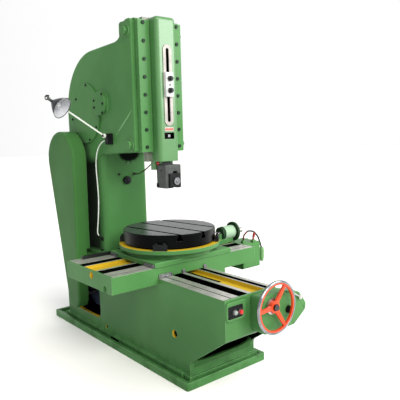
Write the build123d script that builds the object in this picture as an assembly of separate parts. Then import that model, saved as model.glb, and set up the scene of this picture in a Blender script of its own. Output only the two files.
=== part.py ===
from build123d import *
import os
from math import acos, atan2, cos, degrees, hypot, pi, radians, sin, sqrt, tan

# Vertical slotting machine. Millimetres, z = 0 on the floor under the middle of the foot,
# +Y towards the column, -Y towards the operator, +X to the operator's right.

# Fits
running_fit = 0.05      # radial play of a round piece in its hole
slide_gap = 0.2         # play between flat sliding faces
side_gap = 0.4          # play beside a moving piece
wall = 28               # casting wall

# Foot and bed
foot_half_width = 327
foot_half_length = 895
foot_corner = 12
trough_corner = 8
rim_height = 50
rim_width = 24
trough_floor = 28
skirt_step = 15
skirt_height = 64
bed_half_width = 268
bed_front = -1165
bed_top = 600
bed_right = 130
shoulder_top = 515
shoulder_end = 165
pedestal_front = -850
pedestal_rear = 750
toe_height = 145
nose_height = 368
left_groove = (-155, -82)
right_groove = (62, 98)
groove_depth = 44
groove_lip = 14          # end wall of every way groove
valley_half = 52
valley_depth = 24
oil_groove_x = -210
oil_groove_half = 4
oil_groove_depth = 3
anchor_x = 285.5
anchor_y = 800
anchor_radius = 12
window = ((217, 590), (135, 400))
window_corner = 45
lifting_hole = (-706, 285, 25)
pipe_hole = (135, 96, 14)
drain_slot = ((-52, 58), (30, 50), 30)

# Column and head; the heights of the head, ram and drive follow its top
column_half_width = 190
column_front = 207
column_rear = 700
column_corner = 42
column_foot = ((-218, 218), (172, 738), 38)
head_half_width = 200
head_front = -245
head_rear = 705
head_top = 2227
head_height = 851
head_bottom = head_top - head_height
head_back_top = head_top - 147
head_back_radius = 425
head_step = ((-166, head_top), (-112, head_top - 119))
head_underside = head_bottom - 86
throat_rear = 330
throat_half_width = 172
inner_front = -50
hollow_floor = head_bottom + 29
hollow_rear_floor = head_bottom - 46
hollow_roof = head_top - 157
lever_window = ((-110, 110), (head_bottom + 64, head_top - 187))
cover_centre = (402, head_bottom + 279)
cover_radius = 216
cover_hole = 190
cover_thick = 16
cap_radius = 84
cap_height = 25

# Tilting guide and ram
tilt_pivot = (-192, head_bottom + 48)
tilt_arm = head_height - 123
tilt_angle = 8
lug_radius = 41
lug_height = 7
tilt_pin_radius = 20
clamp_pin_radius = 15
guide_front = -264
guide_rear = -62
guide_top = head_top
guide_pocket = 120
web_bottom_top = head_bottom + 94
web_top_bottom = guide_top - 117
strip_thick = 22
strip_inner = 80
strip_bolt_x = 133
strip_bolt_count = 8
ram_half_width = 80
ram_front = -355
ram_back = -226
ram_corner = 26
ram_bottom = head_bottom - 64
ram_top = head_top + 8
ram_foot = ((-74, 74), (-283, -236), 57)
wing_half_width = 120
slot_plate_z = (head_bottom + 169, head_top - 165)
slot_plate_width = 68
slot_plate_border = 23
slot_width = 24
slot_depth = 40
ram_pin_y = -130
ram_pin_z = head_bottom + 429
ram_pin_radius = 28
clamp_block_z = (ram_pin_z - 75, ram_pin_z + 80)
adjuster_z = head_bottom + 103

# Tool head
tool_half_width = 64
tool_front = -386
tool_back = -287
tool_top = ram_bottom - 22
tool_bottom = tool_top - 155
tool_slot = ((-4, 32), 36, 112)
tool_plate = ((-40, 52), 15, (6, 98))
tool_hinge = (-303, tool_top + 10)
tool_hinge_radius = 6

# Main drive
gear_module = 8
input_axis = (579, head_bottom - 63)
crank_axis = (162, head_bottom + 339)
lever_axis = (590, crank_axis[1])
input_teeth = 16
second_teeth = 50
second_pinion_teeth = 18
bull_teeth = 64
first_mesh_x = (-130, -85)
bull_x = (-70, -10)
lever_x = (14, 64)
stroke = 320
lever_reach = 720
pulley_x = (-334, -272)
pulley_radius = 190
motor_pulley_radius = 52
motor_axis = (485, 265)
belt_count = 4
belt_width = 10
belt_thick = 9
guard_x = (-350, -242)
guard_big = 216
guard_small = 90
guard_sheet = 4
guard_edge = 16
guard_posts = ((528, 780), (545, 1030))

# Saddle
saddle_half_length = 596
saddle_y = (-548, 32)
saddle_top = 668
saddle_drop = 562
cross_y = -280
cross_screw_z = 630
cross_screw_radius = 16
saddle_screw_z = 533
saddle_screw_radius = 18
saddle_nut_y = -258
screw_room_lips = (66, 36)
cross_screw_inset = 48
rail_inset = 96
saddle_front_groove = (-428, -348)
saddle_rear_groove = (-178, -112)
saddle_valley = (-332, -190)
saddle_oil_groove = (-500, -494)
saddle_groove_depth = 40
saddle_valley_depth = 20
drop_place = (-303, 636)
drop_radius = 22
arch_place = (-464, 581)
arch_radius = 23

# Cross slide and table
slide_centre = 30
slide_half_length = 320
slide_y = (-555, -18)
slide_top = 700
ring_z = (735, 760)
hub_radius = 140
spindle_radius = 55
table_radius = 315
table_bottom = 771
table_top = 856
table_turn = 8
slot_pitch = 168
tee_neck = 22
tee_head = 40
tee_neck_depth = 24
tee_head_depth = 18
crown_radius = 240
crown_half_width = 18
crown_teeth = 96
crown_module = 5
crown_backlash = 1.0
ring_hollow = crown_radius + crown_half_width + 28
neck_radius = ring_hollow + 14
seat_radius = ring_hollow + 16
clamp_inner = max(table_radius, seat_radius) + 4
clamp_depth = 24
clamp_half_width = 45
clamp_angles = (-137, -47, 43, 133)
ring_radius = clamp_inner + clamp_depth + 4
index_teeth = 12
index_z = 742
index_shaft_radius = 15
drum_radius = 50
drum_x = (520, 624)
drum_flange = 47
index_plate_radius = 74

# Handwheel, feed box and small controls
wheel_plane = -1290
wheel_radius = 144
wheel_rim = 9
feed_box_front = -1250
dial_thick = 12
wheel_hub_radius = 34
hub_front = feed_box_front - 33
hub_rear = feed_box_front - 13
feed_knob_place = (142, 481)
shift_lever_place = (236, 535)
shift_lever_tip = (112, 612)
button_radius = 12
start_place = (-207, 526)
stop_place = (-165, 522)
panel_x = (-258, -145)
panel_z = (491, 566)
gearbox_gap = 1
gearbox_length = 175
gearbox_x = (saddle_half_length + gearbox_gap, saddle_half_length + gearbox_gap + gearbox_length)
gearbox_y = (-430, -230)
gearbox_z = (470, 664)
lever_pads = ((gearbox_x[0] + 43, -385), (gearbox_x[0] + 118, -416))
lever_pivot_rise = 11

# Lamp and its cable
lamp_pivot = (-258, 52, head_bottom + 114)
lamp_bracket_y = (32, 72)
lamp_bracket_z = (head_bottom + 52, head_bottom + 129)
lamp_neck = (-586, 200, head_bottom + 370)
lamp_mouth_way = (0.391, -0.762, -0.515)
shade_radius = 76
shade_depth = 138
cable_radius = 4
cable_top = head_bottom + 82
gland_place = (-column_half_width, 268, 722)


def block(x, y, z):
    size = (x[1] - x[0], y[1] - y[0], z[1] - z[0])
    middle = ((x[0] + x[1]) / 2, (y[0] + y[1]) / 2, (z[0] + z[1]) / 2)
    return Pos(*middle) * Box(*size)


def rod_x(radius, x, y, z):
    return Pos((x[0] + x[1]) / 2, y, z) * Rot(0, 90, 0) * Cylinder(radius, x[1] - x[0])


def rod_y(radius, x, y, z):
    return Pos(x, (y[0] + y[1]) / 2, z) * Rot(90, 0, 0) * Cylinder(radius, y[1] - y[0])


def rod_z(radius, x, y, z):
    return Pos(x, y, (z[0] + z[1]) / 2) * Cylinder(radius, z[1] - z[0])


def plate_x(face, x):
    return extrude(Plane.YZ.offset(x[0]) * face, x[1] - x[0])


def plate_y(face, y):
    return extrude(Plane.XZ.offset(-y[1]) * face, y[1] - y[0])


def plate_z(face, z):
    return extrude(Plane.XY.offset(z[0]) * face, z[1] - z[0])


def outline(points, radii):
    return make_face(FilletPolyline(*points, radius=radii, close=True))


def pear(small, small_radius, big, big_radius):
    # Two circles joined by their outer tangents, small end below
    span = hypot(big[0] - small[0], big[1] - small[1])
    lean = atan2(big[1] - small[1], big[0] - small[0])
    spread = acos((small_radius - big_radius) / span)
    ends = []
    for side in (-1, 1):
        way = lean + side * spread
        low = (small[0] + small_radius * cos(way), small[1] + small_radius * sin(way))
        high = (big[0] + big_radius * cos(way), big[1] + big_radius * sin(way))
        ends.append((low, high))
    bottom = (small[0] - small_radius * cos(lean), small[1] - small_radius * sin(lean))
    top = (big[0] + big_radius * cos(lean), big[1] + big_radius * sin(lean))
    right = Line(ends[0][0], ends[0][1])
    over = ThreePointArc(ends[0][1], top, ends[1][1])
    left = Line(ends[1][1], ends[1][0])
    under = ThreePointArc(ends[1][0], bottom, ends[0][0])
    return make_face([right, over, left, under])


def gear_face(module, teeth, centre, phase):
    # Straight-flanked teeth with backlash; phase is the angle of one tooth in radians
    pitch = module * teeth / 2
    tip = pitch + 0.85 * module
    root = pitch - 1.1 * module
    half = pi / (2 * teeth) - 0.075 * module / pitch
    tip_half = half - 0.85 * module * tan(radians(21)) / pitch
    root_half = min(half + 1.1 * module * tan(radians(14)) / pitch, 0.94 * pi / teeth)
    points = []
    for tooth in range(teeth):
        middle = phase + 2 * pi * tooth / teeth
        for reach, turn in ((root, -root_half), (tip, -tip_half), (tip, tip_half), (root, root_half)):
            angle = middle + turn
            points.append((centre[0] + reach * cos(angle), centre[1] + reach * sin(angle)))
    return make_face(Polyline(*points, close=True))


def angle_to(start, end):
    return atan2(end[1] - start[1], end[0] - start[0])


def second_shaft_place():
    # The second shaft lies where both of its meshes have their right centre distance
    first = gear_module * (input_teeth + second_teeth) / 2
    other = gear_module * (second_pinion_teeth + bull_teeth) / 2
    span = hypot(crank_axis[0] - input_axis[0], crank_axis[1] - input_axis[1])
    along = (first ** 2 - other ** 2 + span ** 2) / (2 * span)
    aside = sqrt(first ** 2 - along ** 2)
    lean = angle_to(input_axis, crank_axis)
    y = input_axis[0] + along * cos(lean) + aside * sin(lean)
    z = input_axis[1] + along * sin(lean) - aside * cos(lean)
    return (y, z)


second_axis = second_shaft_place()
lever_span = lever_axis[0] - crank_axis[0]
crank_radius = lever_span * stroke / (2 * lever_reach)
lever_rest = atan2(ram_pin_z - lever_axis[1], lever_axis[0] - ram_pin_y)
crank_along = lever_span * cos(lever_rest) + sqrt(crank_radius ** 2 - (lever_span * sin(lever_rest)) ** 2)
crank_pin = (lever_axis[0] - crank_along * cos(lever_rest), lever_axis[1] + crank_along * sin(lever_rest))


def bed_profile():
    points = [(pedestal_front, 5), (pedestal_front, toe_height), (bed_front, nose_height)]
    points += [(bed_front, bed_top), (pedestal_rear, bed_top), (pedestal_rear, 5)]
    return outline(points, [0, 40, 24, 0, 0, 0])


def bed_hollow():
    # Open below the nose, between the two side cheeks
    front = bed_front + wall
    rear = shoulder_end - wall
    points = [(pedestal_front + wall, 80), (pedestal_front + wall, toe_height - 40)]
    points += [(front, nose_height - 60), (front, shoulder_top - 30), (rear, shoulder_top - 30), (rear, 80)]
    return outline(points, [0, 0, 0, 24, 24, 24])


def bed_grooves():
    run = (bed_front + groove_lip, shoulder_end - 5)
    deep = (bed_top - groove_depth, bed_top + 5)
    cuts = [block(left_groove, run, deep)]
    cuts.append(block(right_groove, run, deep))
    cuts.append(block((-valley_half, valley_half), run, (bed_top - valley_depth, bed_top + 5)))
    oil_x = (oil_groove_x - oil_groove_half, oil_groove_x + oil_groove_half)
    oil_run = (run[0], shoulder_end - 60)
    cuts.append(block(oil_x, oil_run, (bed_top - oil_groove_depth, bed_top + 5)))
    return cuts


def screw_room():
    front = bed_front + wall
    rear = shoulder_end - wall
    cuts = [block((-48, 48), (front, rear), (shoulder_top - 35, bed_top - 36))]
    cuts.append(block((-24, 24), (saddle_nut_y - 560, saddle_nut_y + 175), (bed_top - 40, bed_top)))
    hole = saddle_screw_radius + running_fit
    cuts.append(rod_y(hole, 0, (bed_front - 5, front + 5), saddle_screw_z))
    cuts.append(rod_y(hole, 0, (rear - 5, rear + 18), saddle_screw_z))
    return cuts


def base_casting():
    foot = extrude(RectangleRounded(2 * foot_half_width, 2 * foot_half_length, foot_corner), rim_height)
    inner = (2 * (foot_half_width - rim_width), 2 * (foot_half_length - rim_width))
    trough = Pos(0, 0, trough_floor) * extrude(RectangleRounded(*inner, trough_corner), rim_height)
    skirt_x = bed_half_width + skirt_step
    skirt_y = (pedestal_front - skirt_step, pedestal_rear + skirt_step)
    skirt = block((-skirt_x, skirt_x), skirt_y, (trough_floor - 2, skirt_height))
    body = foot - trough + skirt + plate_x(bed_profile(), (-bed_half_width, bed_half_width))
    inside = bed_half_width - wall
    body -= plate_x(bed_hollow(), (-inside, inside))
    body -= block((bed_right, 300), (bed_front - 5, shoulder_end), (shoulder_top, bed_top + 5))
    bay_y = (shoulder_end + wall, pedestal_rear - wall)
    body -= block((-inside, inside), bay_y, (trough_floor + 6, bed_top - wall))
    window_y, window_z = window
    corners = [(window_y[0], window_z[0]), (window_y[1], window_z[0])]
    corners += [(window_y[1], window_z[1]), (window_y[0], window_z[1])]
    body -= plate_x(outline(corners, window_corner), (-bed_half_width - 5, -inside + 5))
    for y, z, radius in (lifting_hole, pipe_hole):
        body -= rod_x(radius, (-bed_half_width - 5, -inside + 5), y, z)
    lift_y, lift_z, lift_radius = lifting_hole
    body -= rod_x(lift_radius, (inside - 5, bed_half_width + 5), lift_y, lift_z)
    for side_x in (-anchor_x, anchor_x):
        for side_y in (-anchor_y, anchor_y):
            body -= rod_z(anchor_radius + 4, side_x, side_y, (trough_floor, skirt_height + 5))
            body -= rod_z(anchor_radius, side_x, side_y, (-5, skirt_height))
    slot_y, slot_z, slot_deep = drain_slot
    body -= block((-skirt_x - 5, -skirt_x + slot_deep), slot_y, slot_z)
    body -= bed_grooves()
    body -= screw_room()
    return body


def head_profile():
    points = [(head_front, head_bottom), (head_front, head_top), *head_step]
    points += [(head_rear, head_back_top), (head_rear, head_underside), (throat_rear, head_underside)]
    points += [(column_front, head_bottom - 18)]
    return outline(points, [14, 30, 45, 130, head_back_radius, 0, 0, 30])


def head_hollow():
    front = inner_front + wall
    rear = head_rear - wall
    front_low = column_front + wall + 5
    points = [(front, hollow_floor), (front, hollow_roof), (rear, head_back_top - wall - 4)]
    points += [(rear, hollow_rear_floor), (front_low, hollow_rear_floor), (front_low, hollow_floor)]
    return outline(points, [30, 40, head_back_radius - wall, 0, 0, 0])


def head_shell():
    body = plate_x(head_profile(), (-head_half_width, head_half_width))
    sides = body.faces().filter_by(Axis.X)
    body = fillet(sides.edges().filter_by(lambda edge: edge.center().Z > head_bottom - 60), 9)
    return body


def column_shaft():
    size = (2 * column_half_width, column_rear - column_front)
    middle = (column_front + column_rear) / 2
    shaft = extrude(RectangleRounded(*size, column_corner), head_bottom + 4 - bed_top)
    foot_x, foot_y, foot_height = column_foot
    foot_size = (foot_x[1] - foot_x[0], foot_y[1] - foot_y[0])
    foot = extrude(RectangleRounded(*foot_size, column_corner), foot_height)
    foot = chamfer(foot.edges().group_by(Axis.Z)[-1], 8)
    body = Pos(0, middle, bed_top) * shaft
    return body + Pos(0, (foot_y[0] + foot_y[1]) / 2, bed_top) * foot


def drive_bosses():
    # Bearing bosses inside the head for the crank shaft, the lever pin and the two shafts
    inside = throat_half_width
    bosses = [rod_x(80, (-inside - 5, bull_x[0] - 8), *crank_axis)]
    bosses.append(rod_x(62, (lever_x[1] + 6, inside + 5), *lever_axis))
    bosses.append(rod_x(48, (84, inside + 5), *second_axis))
    bosses.append(rod_x(58, (92, column_half_width - 12), *input_axis))
    return bosses


def drive_bores():
    outer = head_half_width + 10
    bores = [rod_x(45 + running_fit, (-outer, bull_x[0]), *crank_axis)]
    bores.append(rod_x(30 + running_fit, (lever_x[1], outer - 20), *lever_axis))
    bores.append(rod_x(25 + running_fit, (80, 166), *second_axis))
    bores.append(rod_x(35 + running_fit, (-outer, -100), *input_axis))
    bores.append(rod_x(35 + running_fit, (86, 132), *input_axis))
    bores.append(rod_x(cover_hole, (-outer, -throat_half_width + 5), *cover_centre))
    return bores


def tilt_places():
    return [tilt_pivot, (tilt_pivot[0], tilt_pivot[1] + tilt_arm)]


def column_casting():
    body = head_shell() + column_shaft()
    for y, z in tilt_places():
        body += rod_x(lug_radius, (-head_half_width - lug_height, -throat_half_width), y, z)
        body += rod_x(lug_radius, (throat_half_width, head_half_width + lug_height), y, z)
    body += rod_x(cap_radius + 6, (-head_half_width - 4, -throat_half_width), *crank_axis)
    inside = throat_half_width
    body -= plate_x(head_hollow(), (-inside, inside))
    lower = column_half_width - wall
    room_y = (column_front + wall, column_rear - wall)
    body -= block((-lower, lower), room_y, (bed_top + 34, head_bottom - 31))
    body += drive_bosses()
    body -= block((-inside, inside), (head_front - 40, inner_front), (head_bottom - 80, head_top + 40))
    window_x, window_z = lever_window
    body -= block(window_x, (inner_front - 5, inner_front + wall + 5), window_z)
    body -= drive_bores()
    for (y, z), radius in zip(tilt_places(), (tilt_pin_radius, clamp_pin_radius)):
        body -= rod_x(radius + running_fit, (-head_half_width - 20, head_half_width + 20), y, z)
    return body


def gear_cover():
    outer = -head_half_width - cover_thick
    disc = rod_x(cover_radius, (outer, -head_half_width), *cover_centre)
    disc = fillet(disc.edges().group_by(Axis.X)[0], 5)
    spigot = rod_x(cover_hole - 0.3, (-head_half_width, -throat_half_width), *cover_centre)
    boss = rod_x(46, (-throat_half_width, first_mesh_x[0] - 6), *second_axis)
    body = disc + spigot + boss
    body -= rod_x(25 + running_fit, (-192, -100), *second_axis)
    body -= rod_x(cap_radius + 6.5, (outer - 5, -head_half_width + 0.01), *crank_axis)
    return body


def bearing_cap():
    inner = -head_half_width - 4
    body = rod_x(cap_radius, (inner - cap_height, inner), *crank_axis)
    return fillet(body.edges().group_by(Axis.X)[0], 8)


def belt_guard():
    shell = plate_x(pear(motor_axis, guard_small, input_axis, guard_big), guard_x)
    shell = fillet(shell.edges().group_by(Axis.X)[0], guard_edge)
    inner = pear(motor_axis, guard_small - guard_sheet, input_axis, guard_big - guard_sheet)
    room = plate_x(inner, (guard_x[0] + guard_sheet, guard_x[1] + 5))
    shell -= fillet(room.edges().group_by(Axis.X)[0], guard_edge - guard_sheet)
    shell -= block((-bed_half_width - 0.6, guard_x[1] + 5), (300, 900), (100, bed_top + 46))
    for y, z in guard_posts:
        shell += rod_x(13, (guard_x[0] + 1, -column_half_width), y, z)
    return shell


def belt_places():
    pitch = (pulley_x[1] - pulley_x[0]) / belt_count
    return [pulley_x[0] + pitch * (index + 0.5) for index in range(belt_count)]


def drive_belts():
    outer = pear(motor_axis, motor_pulley_radius - 1, input_axis, pulley_radius - 1)
    inner_small = motor_pulley_radius - 1 - belt_thick
    inner = pear(motor_axis, inner_small, input_axis, pulley_radius - 1 - belt_thick)
    belts = []
    for middle in belt_places():
        belts.append(plate_x(outer - inner, (middle - belt_width / 2, middle + belt_width / 2)))
    return Compound(children=belts)


def grooved_pulley(radius, axis, bore):
    body = rod_x(radius, pulley_x, *axis)
    for middle in belt_places():
        half = belt_width / 2 + 0.4
        ring = rod_x(radius + 5, (middle - half, middle + half), *axis)
        body -= ring - rod_x(radius - 1 - belt_thick - 0.4, (middle - half, middle + half), *axis)
    if bore:
        body -= rod_x(bore, (pulley_x[0] - 5, pulley_x[1] + 5), *axis)
    return body


def driven_pulley():
    body = grooved_pulley(pulley_radius, input_axis, 35 + running_fit)
    for index in range(5):
        angle = 2 * pi * index / 5
        y = input_axis[0] + 108 * cos(angle)
        z = input_axis[1] + 108 * sin(angle)
        body -= rod_x(36, (pulley_x[0] - 5, pulley_x[1] + 5), y, z)
    return body


def motor_pulley():
    return grooved_pulley(motor_pulley_radius, motor_axis, 0) + rod_x(19, (pulley_x[1], -120), *motor_axis)


def motor():
    y, z = motor_axis
    body = rod_x(104, (-120, 170), y, z)
    body += rod_x(112, (-150, -120), y, z) + rod_x(112, (120, 140), y, z)
    body += block((-100, 110), (y - 96, y + 96), (trough_floor + 6, trough_floor + 24))
    body += block((-90, 100), (y - 60, y + 60), (trough_floor + 20, z - 60))
    body += block((-70, 40), (y - 48, y + 48), (z + 80, z + 150))
    body -= rod_x(19 + running_fit, (-160, -110), y, z)
    return body


def input_shaft():
    phase = angle_to(input_axis, second_axis)
    pinion = plate_x(gear_face(gear_module, input_teeth, input_axis, phase), first_mesh_x)
    return rod_x(35, (-342, 130), *input_axis) + pinion


def second_shaft():
    back = angle_to(second_axis, input_axis)
    gear = plate_x(gear_face(gear_module, second_teeth, second_axis, back + pi / second_teeth), first_mesh_x)
    ahead = angle_to(second_axis, crank_axis)
    pinion = plate_x(gear_face(gear_module, second_pinion_teeth, second_axis, ahead), bull_x)
    return rod_x(25, (-190, 164), *second_axis) + gear + pinion


def bull_gear():
    back = angle_to(crank_axis, second_axis)
    face = gear_face(gear_module, bull_teeth, crank_axis, back + pi / bull_teeth)
    body = plate_x(face, bull_x) + rod_x(45, (-head_half_width, bull_x[0]), *crank_axis)
    start = angle_to(crank_axis, crank_pin)
    for index in range(1, 6):
        angle = start + 2 * pi * index / 6
        y = crank_axis[0] + 158 * cos(angle)
        z = crank_axis[1] + 158 * sin(angle)
        body -= rod_x(44, (bull_x[0] - 5, bull_x[1] + 5), y, z)
    return body + rod_x(30, (bull_x[1], lever_x[0] - 2), *crank_pin)


def on_lever(along, across):
    # From a place on the lever to the machine frame
    y = lever_axis[0] - along * cos(lever_rest) - across * sin(lever_rest)
    z = lever_axis[1] + along * sin(lever_rest) - across * cos(lever_rest)
    return (y, z)


def lever_polygon(points, radii):
    return outline([on_lever(along, across) for along, across in points], radii)


def rocker_lever():
    tip = 800
    upper = [(0, 60), (330, 78), (570, 80), (650, 70), (tip, 66)]
    points = upper + [(along, -across) for along, across in reversed(upper)]
    radii = [0, 60, 60, 40, 12, 12, 40, 60, 60, 0]
    body = plate_x(lever_polygon(points, radii), lever_x) + rod_x(74, lever_x, *lever_axis)
    low = lever_span - crank_radius - 40
    high = lever_span + crank_radius + 40
    slot = [(low, 36), (high, 36), (high, -36), (low, -36)]
    body -= plate_x(lever_polygon(slot, 20), (lever_x[0] - 5, lever_x[1] + 5))
    play = ram_pin_radius + 13
    fork = [(655, play), (tip + 20, play), (tip + 20, -play), (655, -play)]
    body -= plate_x(lever_polygon(fork, [24, 0, 0, 24]), (lever_x[0] - 5, lever_x[1] + 5))
    return body - rod_x(30 + running_fit, (lever_x[0] - 5, lever_x[1] + 5), *lever_axis)


def crank_block():
    half = 35.7
    points = [(crank_along - half, half), (crank_along + half, half)]
    points += [(crank_along + half, -half), (crank_along - half, -half)]
    return plate_x(lever_polygon(points, 6), (lever_x[0] + 1, lever_x[1] - 1))


def lever_pivot_pin():
    pin = rod_x(30, (lever_x[0] - 2, head_half_width - 18), *lever_axis)
    return pin + rod_x(44, (lever_x[0] - 14, lever_x[0] - 2), *lever_axis)


def guide_frame():
    half = throat_half_width - side_gap
    body = block((-half, half), (guide_front, guide_rear), (head_bottom, guide_top))
    body = fillet(body.edges().filter_by(Axis.X).group_by(Axis.Z)[-1], 20)
    pocket = guide_pocket + 0.3
    body -= block((-pocket, pocket), (guide_front - 5, ram_back + 0.5), (head_bottom - 5, guide_top + 5))
    body -= block((-pocket, pocket), (ram_back, guide_rear + 5), (web_bottom_top, web_top_bottom))
    path = CenterArc(tilt_pivot, tilt_arm, 90 - tilt_angle - 0.3, tilt_angle + 0.6)
    slot = plate_x(SlotArc(path, 2 * clamp_pin_radius + 1), (-half - 5, half + 5))
    body -= slot
    return body - rod_x(tilt_pin_radius + running_fit, (-half - 5, half + 5), *tilt_pivot)


def tilt_bolts():
    bolts = []
    outer = head_half_width + lug_height
    for (y, z), radius in zip(tilt_places(), (tilt_pin_radius, clamp_pin_radius)):
        hexagon = Pos(y, z) * RegularPolygon(radius + 11, 6)
        for side in (-1, 1):
            reach = sorted((side * (guide_pocket + 8), side * outer))
            head = sorted((side * outer, side * (outer + 20)))
            bolts.append(rod_x(radius, reach, y, z) + plate_x(hexagon, head))
    return Compound(children=bolts)


def strip_bolt_heights():
    low = head_bottom + 33
    high = guide_top - 32
    return [low + (high - low) * index / (strip_bolt_count - 1) for index in range(strip_bolt_count)]


def guide_strips():
    front = guide_front - strip_thick
    outer = throat_half_width - side_gap
    left = block((-outer, -strip_inner - 0.3), (front, guide_front), (head_bottom, guide_top - 14))
    left = chamfer(left.edges().filter_by(Axis.Z).group_by(Axis.Y)[0], 3)
    return Compound(children=[left, mirror(left, Plane.YZ)])


def strip_bolts():
    front = guide_front - strip_thick
    bolts = []
    for side in (-strip_bolt_x, strip_bolt_x):
        for height in strip_bolt_heights():
            bolts.append(plate_y(Pos(side, height) * RegularPolygon(12, 6), (front - 8, front)))
    return Compound(children=bolts)


def ram_plan():
    wing_front = guide_front + 0.5
    points = [(-wing_half_width, ram_back), (-wing_half_width, wing_front), (-ram_half_width, wing_front)]
    points += [(-ram_half_width, ram_front), (ram_half_width, ram_front), (ram_half_width, wing_front)]
    points += [(wing_half_width, wing_front), (wing_half_width, ram_back)]
    return outline(points, [0, 0, 0, ram_corner, ram_corner, 0, 0, 0])


def ram():
    body = plate_z(ram_plan(), (ram_bottom, ram_top))
    top_edges = body.edges().filter_by(Axis.X).group_by(Axis.Z)[-1]
    body = fillet(top_edges.sort_by(Axis.Y)[0], 24)
    foot_x, foot_y, foot_drop = ram_foot
    body += block(foot_x, foot_y, (ram_bottom - foot_drop, ram_bottom))
    middle = (slot_plate_z[0] + slot_plate_z[1]) / 2
    length = slot_plate_z[1] - slot_plate_z[0] - 2 * slot_plate_border
    slot = Pos(0, middle) * Rot(0, 0, 90) * SlotOverall(length, slot_width)
    body -= plate_y(slot, (ram_front - 5, ram_front + slot_depth))
    body -= block((-40, 40), (ram_front - 5, ram_front + 34), (adjuster_z - 21, adjuster_z + 21))
    body -= rod_y(10 + running_fit, 0, (ram_front + 30, ram_front + 70), adjuster_z)
    hinge_y, hinge_z = tool_hinge
    for side in (-1, 1):
        lug_x = sorted((side * 33, side * 52))
        body += rod_x(8, lug_x, hinge_y, hinge_z)
        body += block(lug_x, (hinge_y - 8, hinge_y + 8), (hinge_z, ram_bottom + 1))
    return body - rod_x(tool_hinge_radius + running_fit, (-60, 60), hinge_y, hinge_z)


def ram_slot_plate():
    middle = (slot_plate_z[0] + slot_plate_z[1]) / 2
    length = slot_plate_z[1] - slot_plate_z[0]
    face = Rot(0, 0, 90) * SlotOverall(length, slot_plate_width)
    face -= Rot(0, 0, 90) * SlotOverall(length - 2 * slot_plate_border, slot_width)
    return plate_y(Pos(0, middle) * face, (ram_front - 5, ram_front))


def ram_clamp_block():
    body = block((-30, 30), (ram_front - 24, ram_front - 5), clamp_block_z)
    return chamfer(body.edges().group_by(Axis.Y)[0], 3)


def clamp_nuts():
    nuts = []
    for z in (clamp_block_z[0] + 40, clamp_block_z[1] - 40):
        nut = plate_y(Pos(0, z) * RegularPolygon(19, 6), (ram_front - 40, ram_front - 24))
        nuts.append(nut + rod_y(9, 0, (ram_front - 50, ram_front - 40), z))
    return Compound(children=nuts)


def ram_bracket():
    z = (ram_pin_z - 60, ram_pin_z + 60)
    left = (lever_x[0] - 22, lever_x[0] - 4)
    right = (lever_x[1] + 4, lever_x[1] + 22)
    body = block((left[0], right[1]), (ram_back, ram_back + 12), z)
    for ear in (left, right):
        body += block(ear, (ram_back, ram_pin_y), (ram_pin_z - 42, ram_pin_z + 42))
        body += rod_x(42, ear, ram_pin_y, ram_pin_z)
    return body + rod_x(ram_pin_radius, (left[0], right[1]), ram_pin_y, ram_pin_z)


def ram_adjuster():
    stem = rod_y(10, 0, (ram_front + 34, ram_front + 64), adjuster_z)
    return stem + block((-9, 9), (ram_front + 2, ram_front + 34), (adjuster_z - 9, adjuster_z + 9))


def tool_head():
    half = tool_half_width
    points = [(-half, tool_top), (half, tool_top), (half, tool_bottom), (-half, tool_bottom)]
    body = plate_y(outline(points, 7), (tool_front, tool_back))
    body = chamfer(body.edges().group_by(Axis.Y)[0], 3)
    slot_x, slot_deep, slot_high = tool_slot
    slot_z = (tool_bottom - 5, tool_bottom + slot_high)
    body -= block(slot_x, (tool_front - 5, tool_front + slot_deep), slot_z)
    hinge_y, hinge_z = tool_hinge
    body += rod_x(9, (-32, 32), hinge_y, hinge_z)
    body += block((-32, 32), (hinge_y - 9, hinge_y + 9), (tool_top - 1, hinge_z))
    return body - rod_x(tool_hinge_radius + running_fit, (-40, 40), hinge_y, hinge_z)


def tool_hinge_pin():
    return rod_x(tool_hinge_radius, (-60, 60), *tool_hinge)


def tool_clamp_plate():
    plate_across, thick, rise = tool_plate
    height = (tool_bottom + rise[0], tool_bottom + rise[1])
    body = block(plate_across, (tool_front - thick, tool_front), height)
    return chamfer(body.edges().group_by(Axis.Y)[0], 3)


def tool_clamp_screws():
    front = tool_front - tool_plate[1]
    slot_x = tool_slot[0]
    middle = (slot_x[0] + slot_x[1]) / 2
    height = tool_bottom + 46
    return rod_y(25, middle, (front - 9, front), height) + rod_y(11, middle, (front - 15, front - 9), height)


def saddle_grooves():
    run = (groove_lip - saddle_half_length, saddle_half_length - groove_lip)
    deep = (saddle_top - saddle_groove_depth, saddle_top + 5)
    cuts = [block(run, saddle_front_groove, deep)]
    cuts.append(block(run, saddle_valley, (saddle_top - saddle_valley_depth, saddle_top + 5)))
    cuts.append(block(run, saddle_rear_groove, deep))
    cuts.append(block(run, saddle_oil_groove, (saddle_top - oil_groove_depth, saddle_top + 5)))
    return cuts


def cross_screw_room():
    hole = cross_screw_radius + running_fit
    room = (screw_room_lips[0] - saddle_half_length, saddle_half_length - screw_room_lips[1])
    cuts = [block(room, (cross_y - 23, cross_y + 23), (cross_screw_z - 18, cross_screw_z + 18))]
    open_x = (slide_centre - 40 - 320, slide_centre + 40 + 262)
    cuts.append(block(open_x, (cross_y - 23, cross_y + 23), (cross_screw_z, saddle_top)))
    cuts.append(rod_x(hole, (room[0] - 30, room[0] + 10), cross_y, cross_screw_z))
    cuts.append(rod_x(hole, (room[1] - 10, saddle_half_length + 5), cross_y, cross_screw_z))
    return cuts


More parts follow.
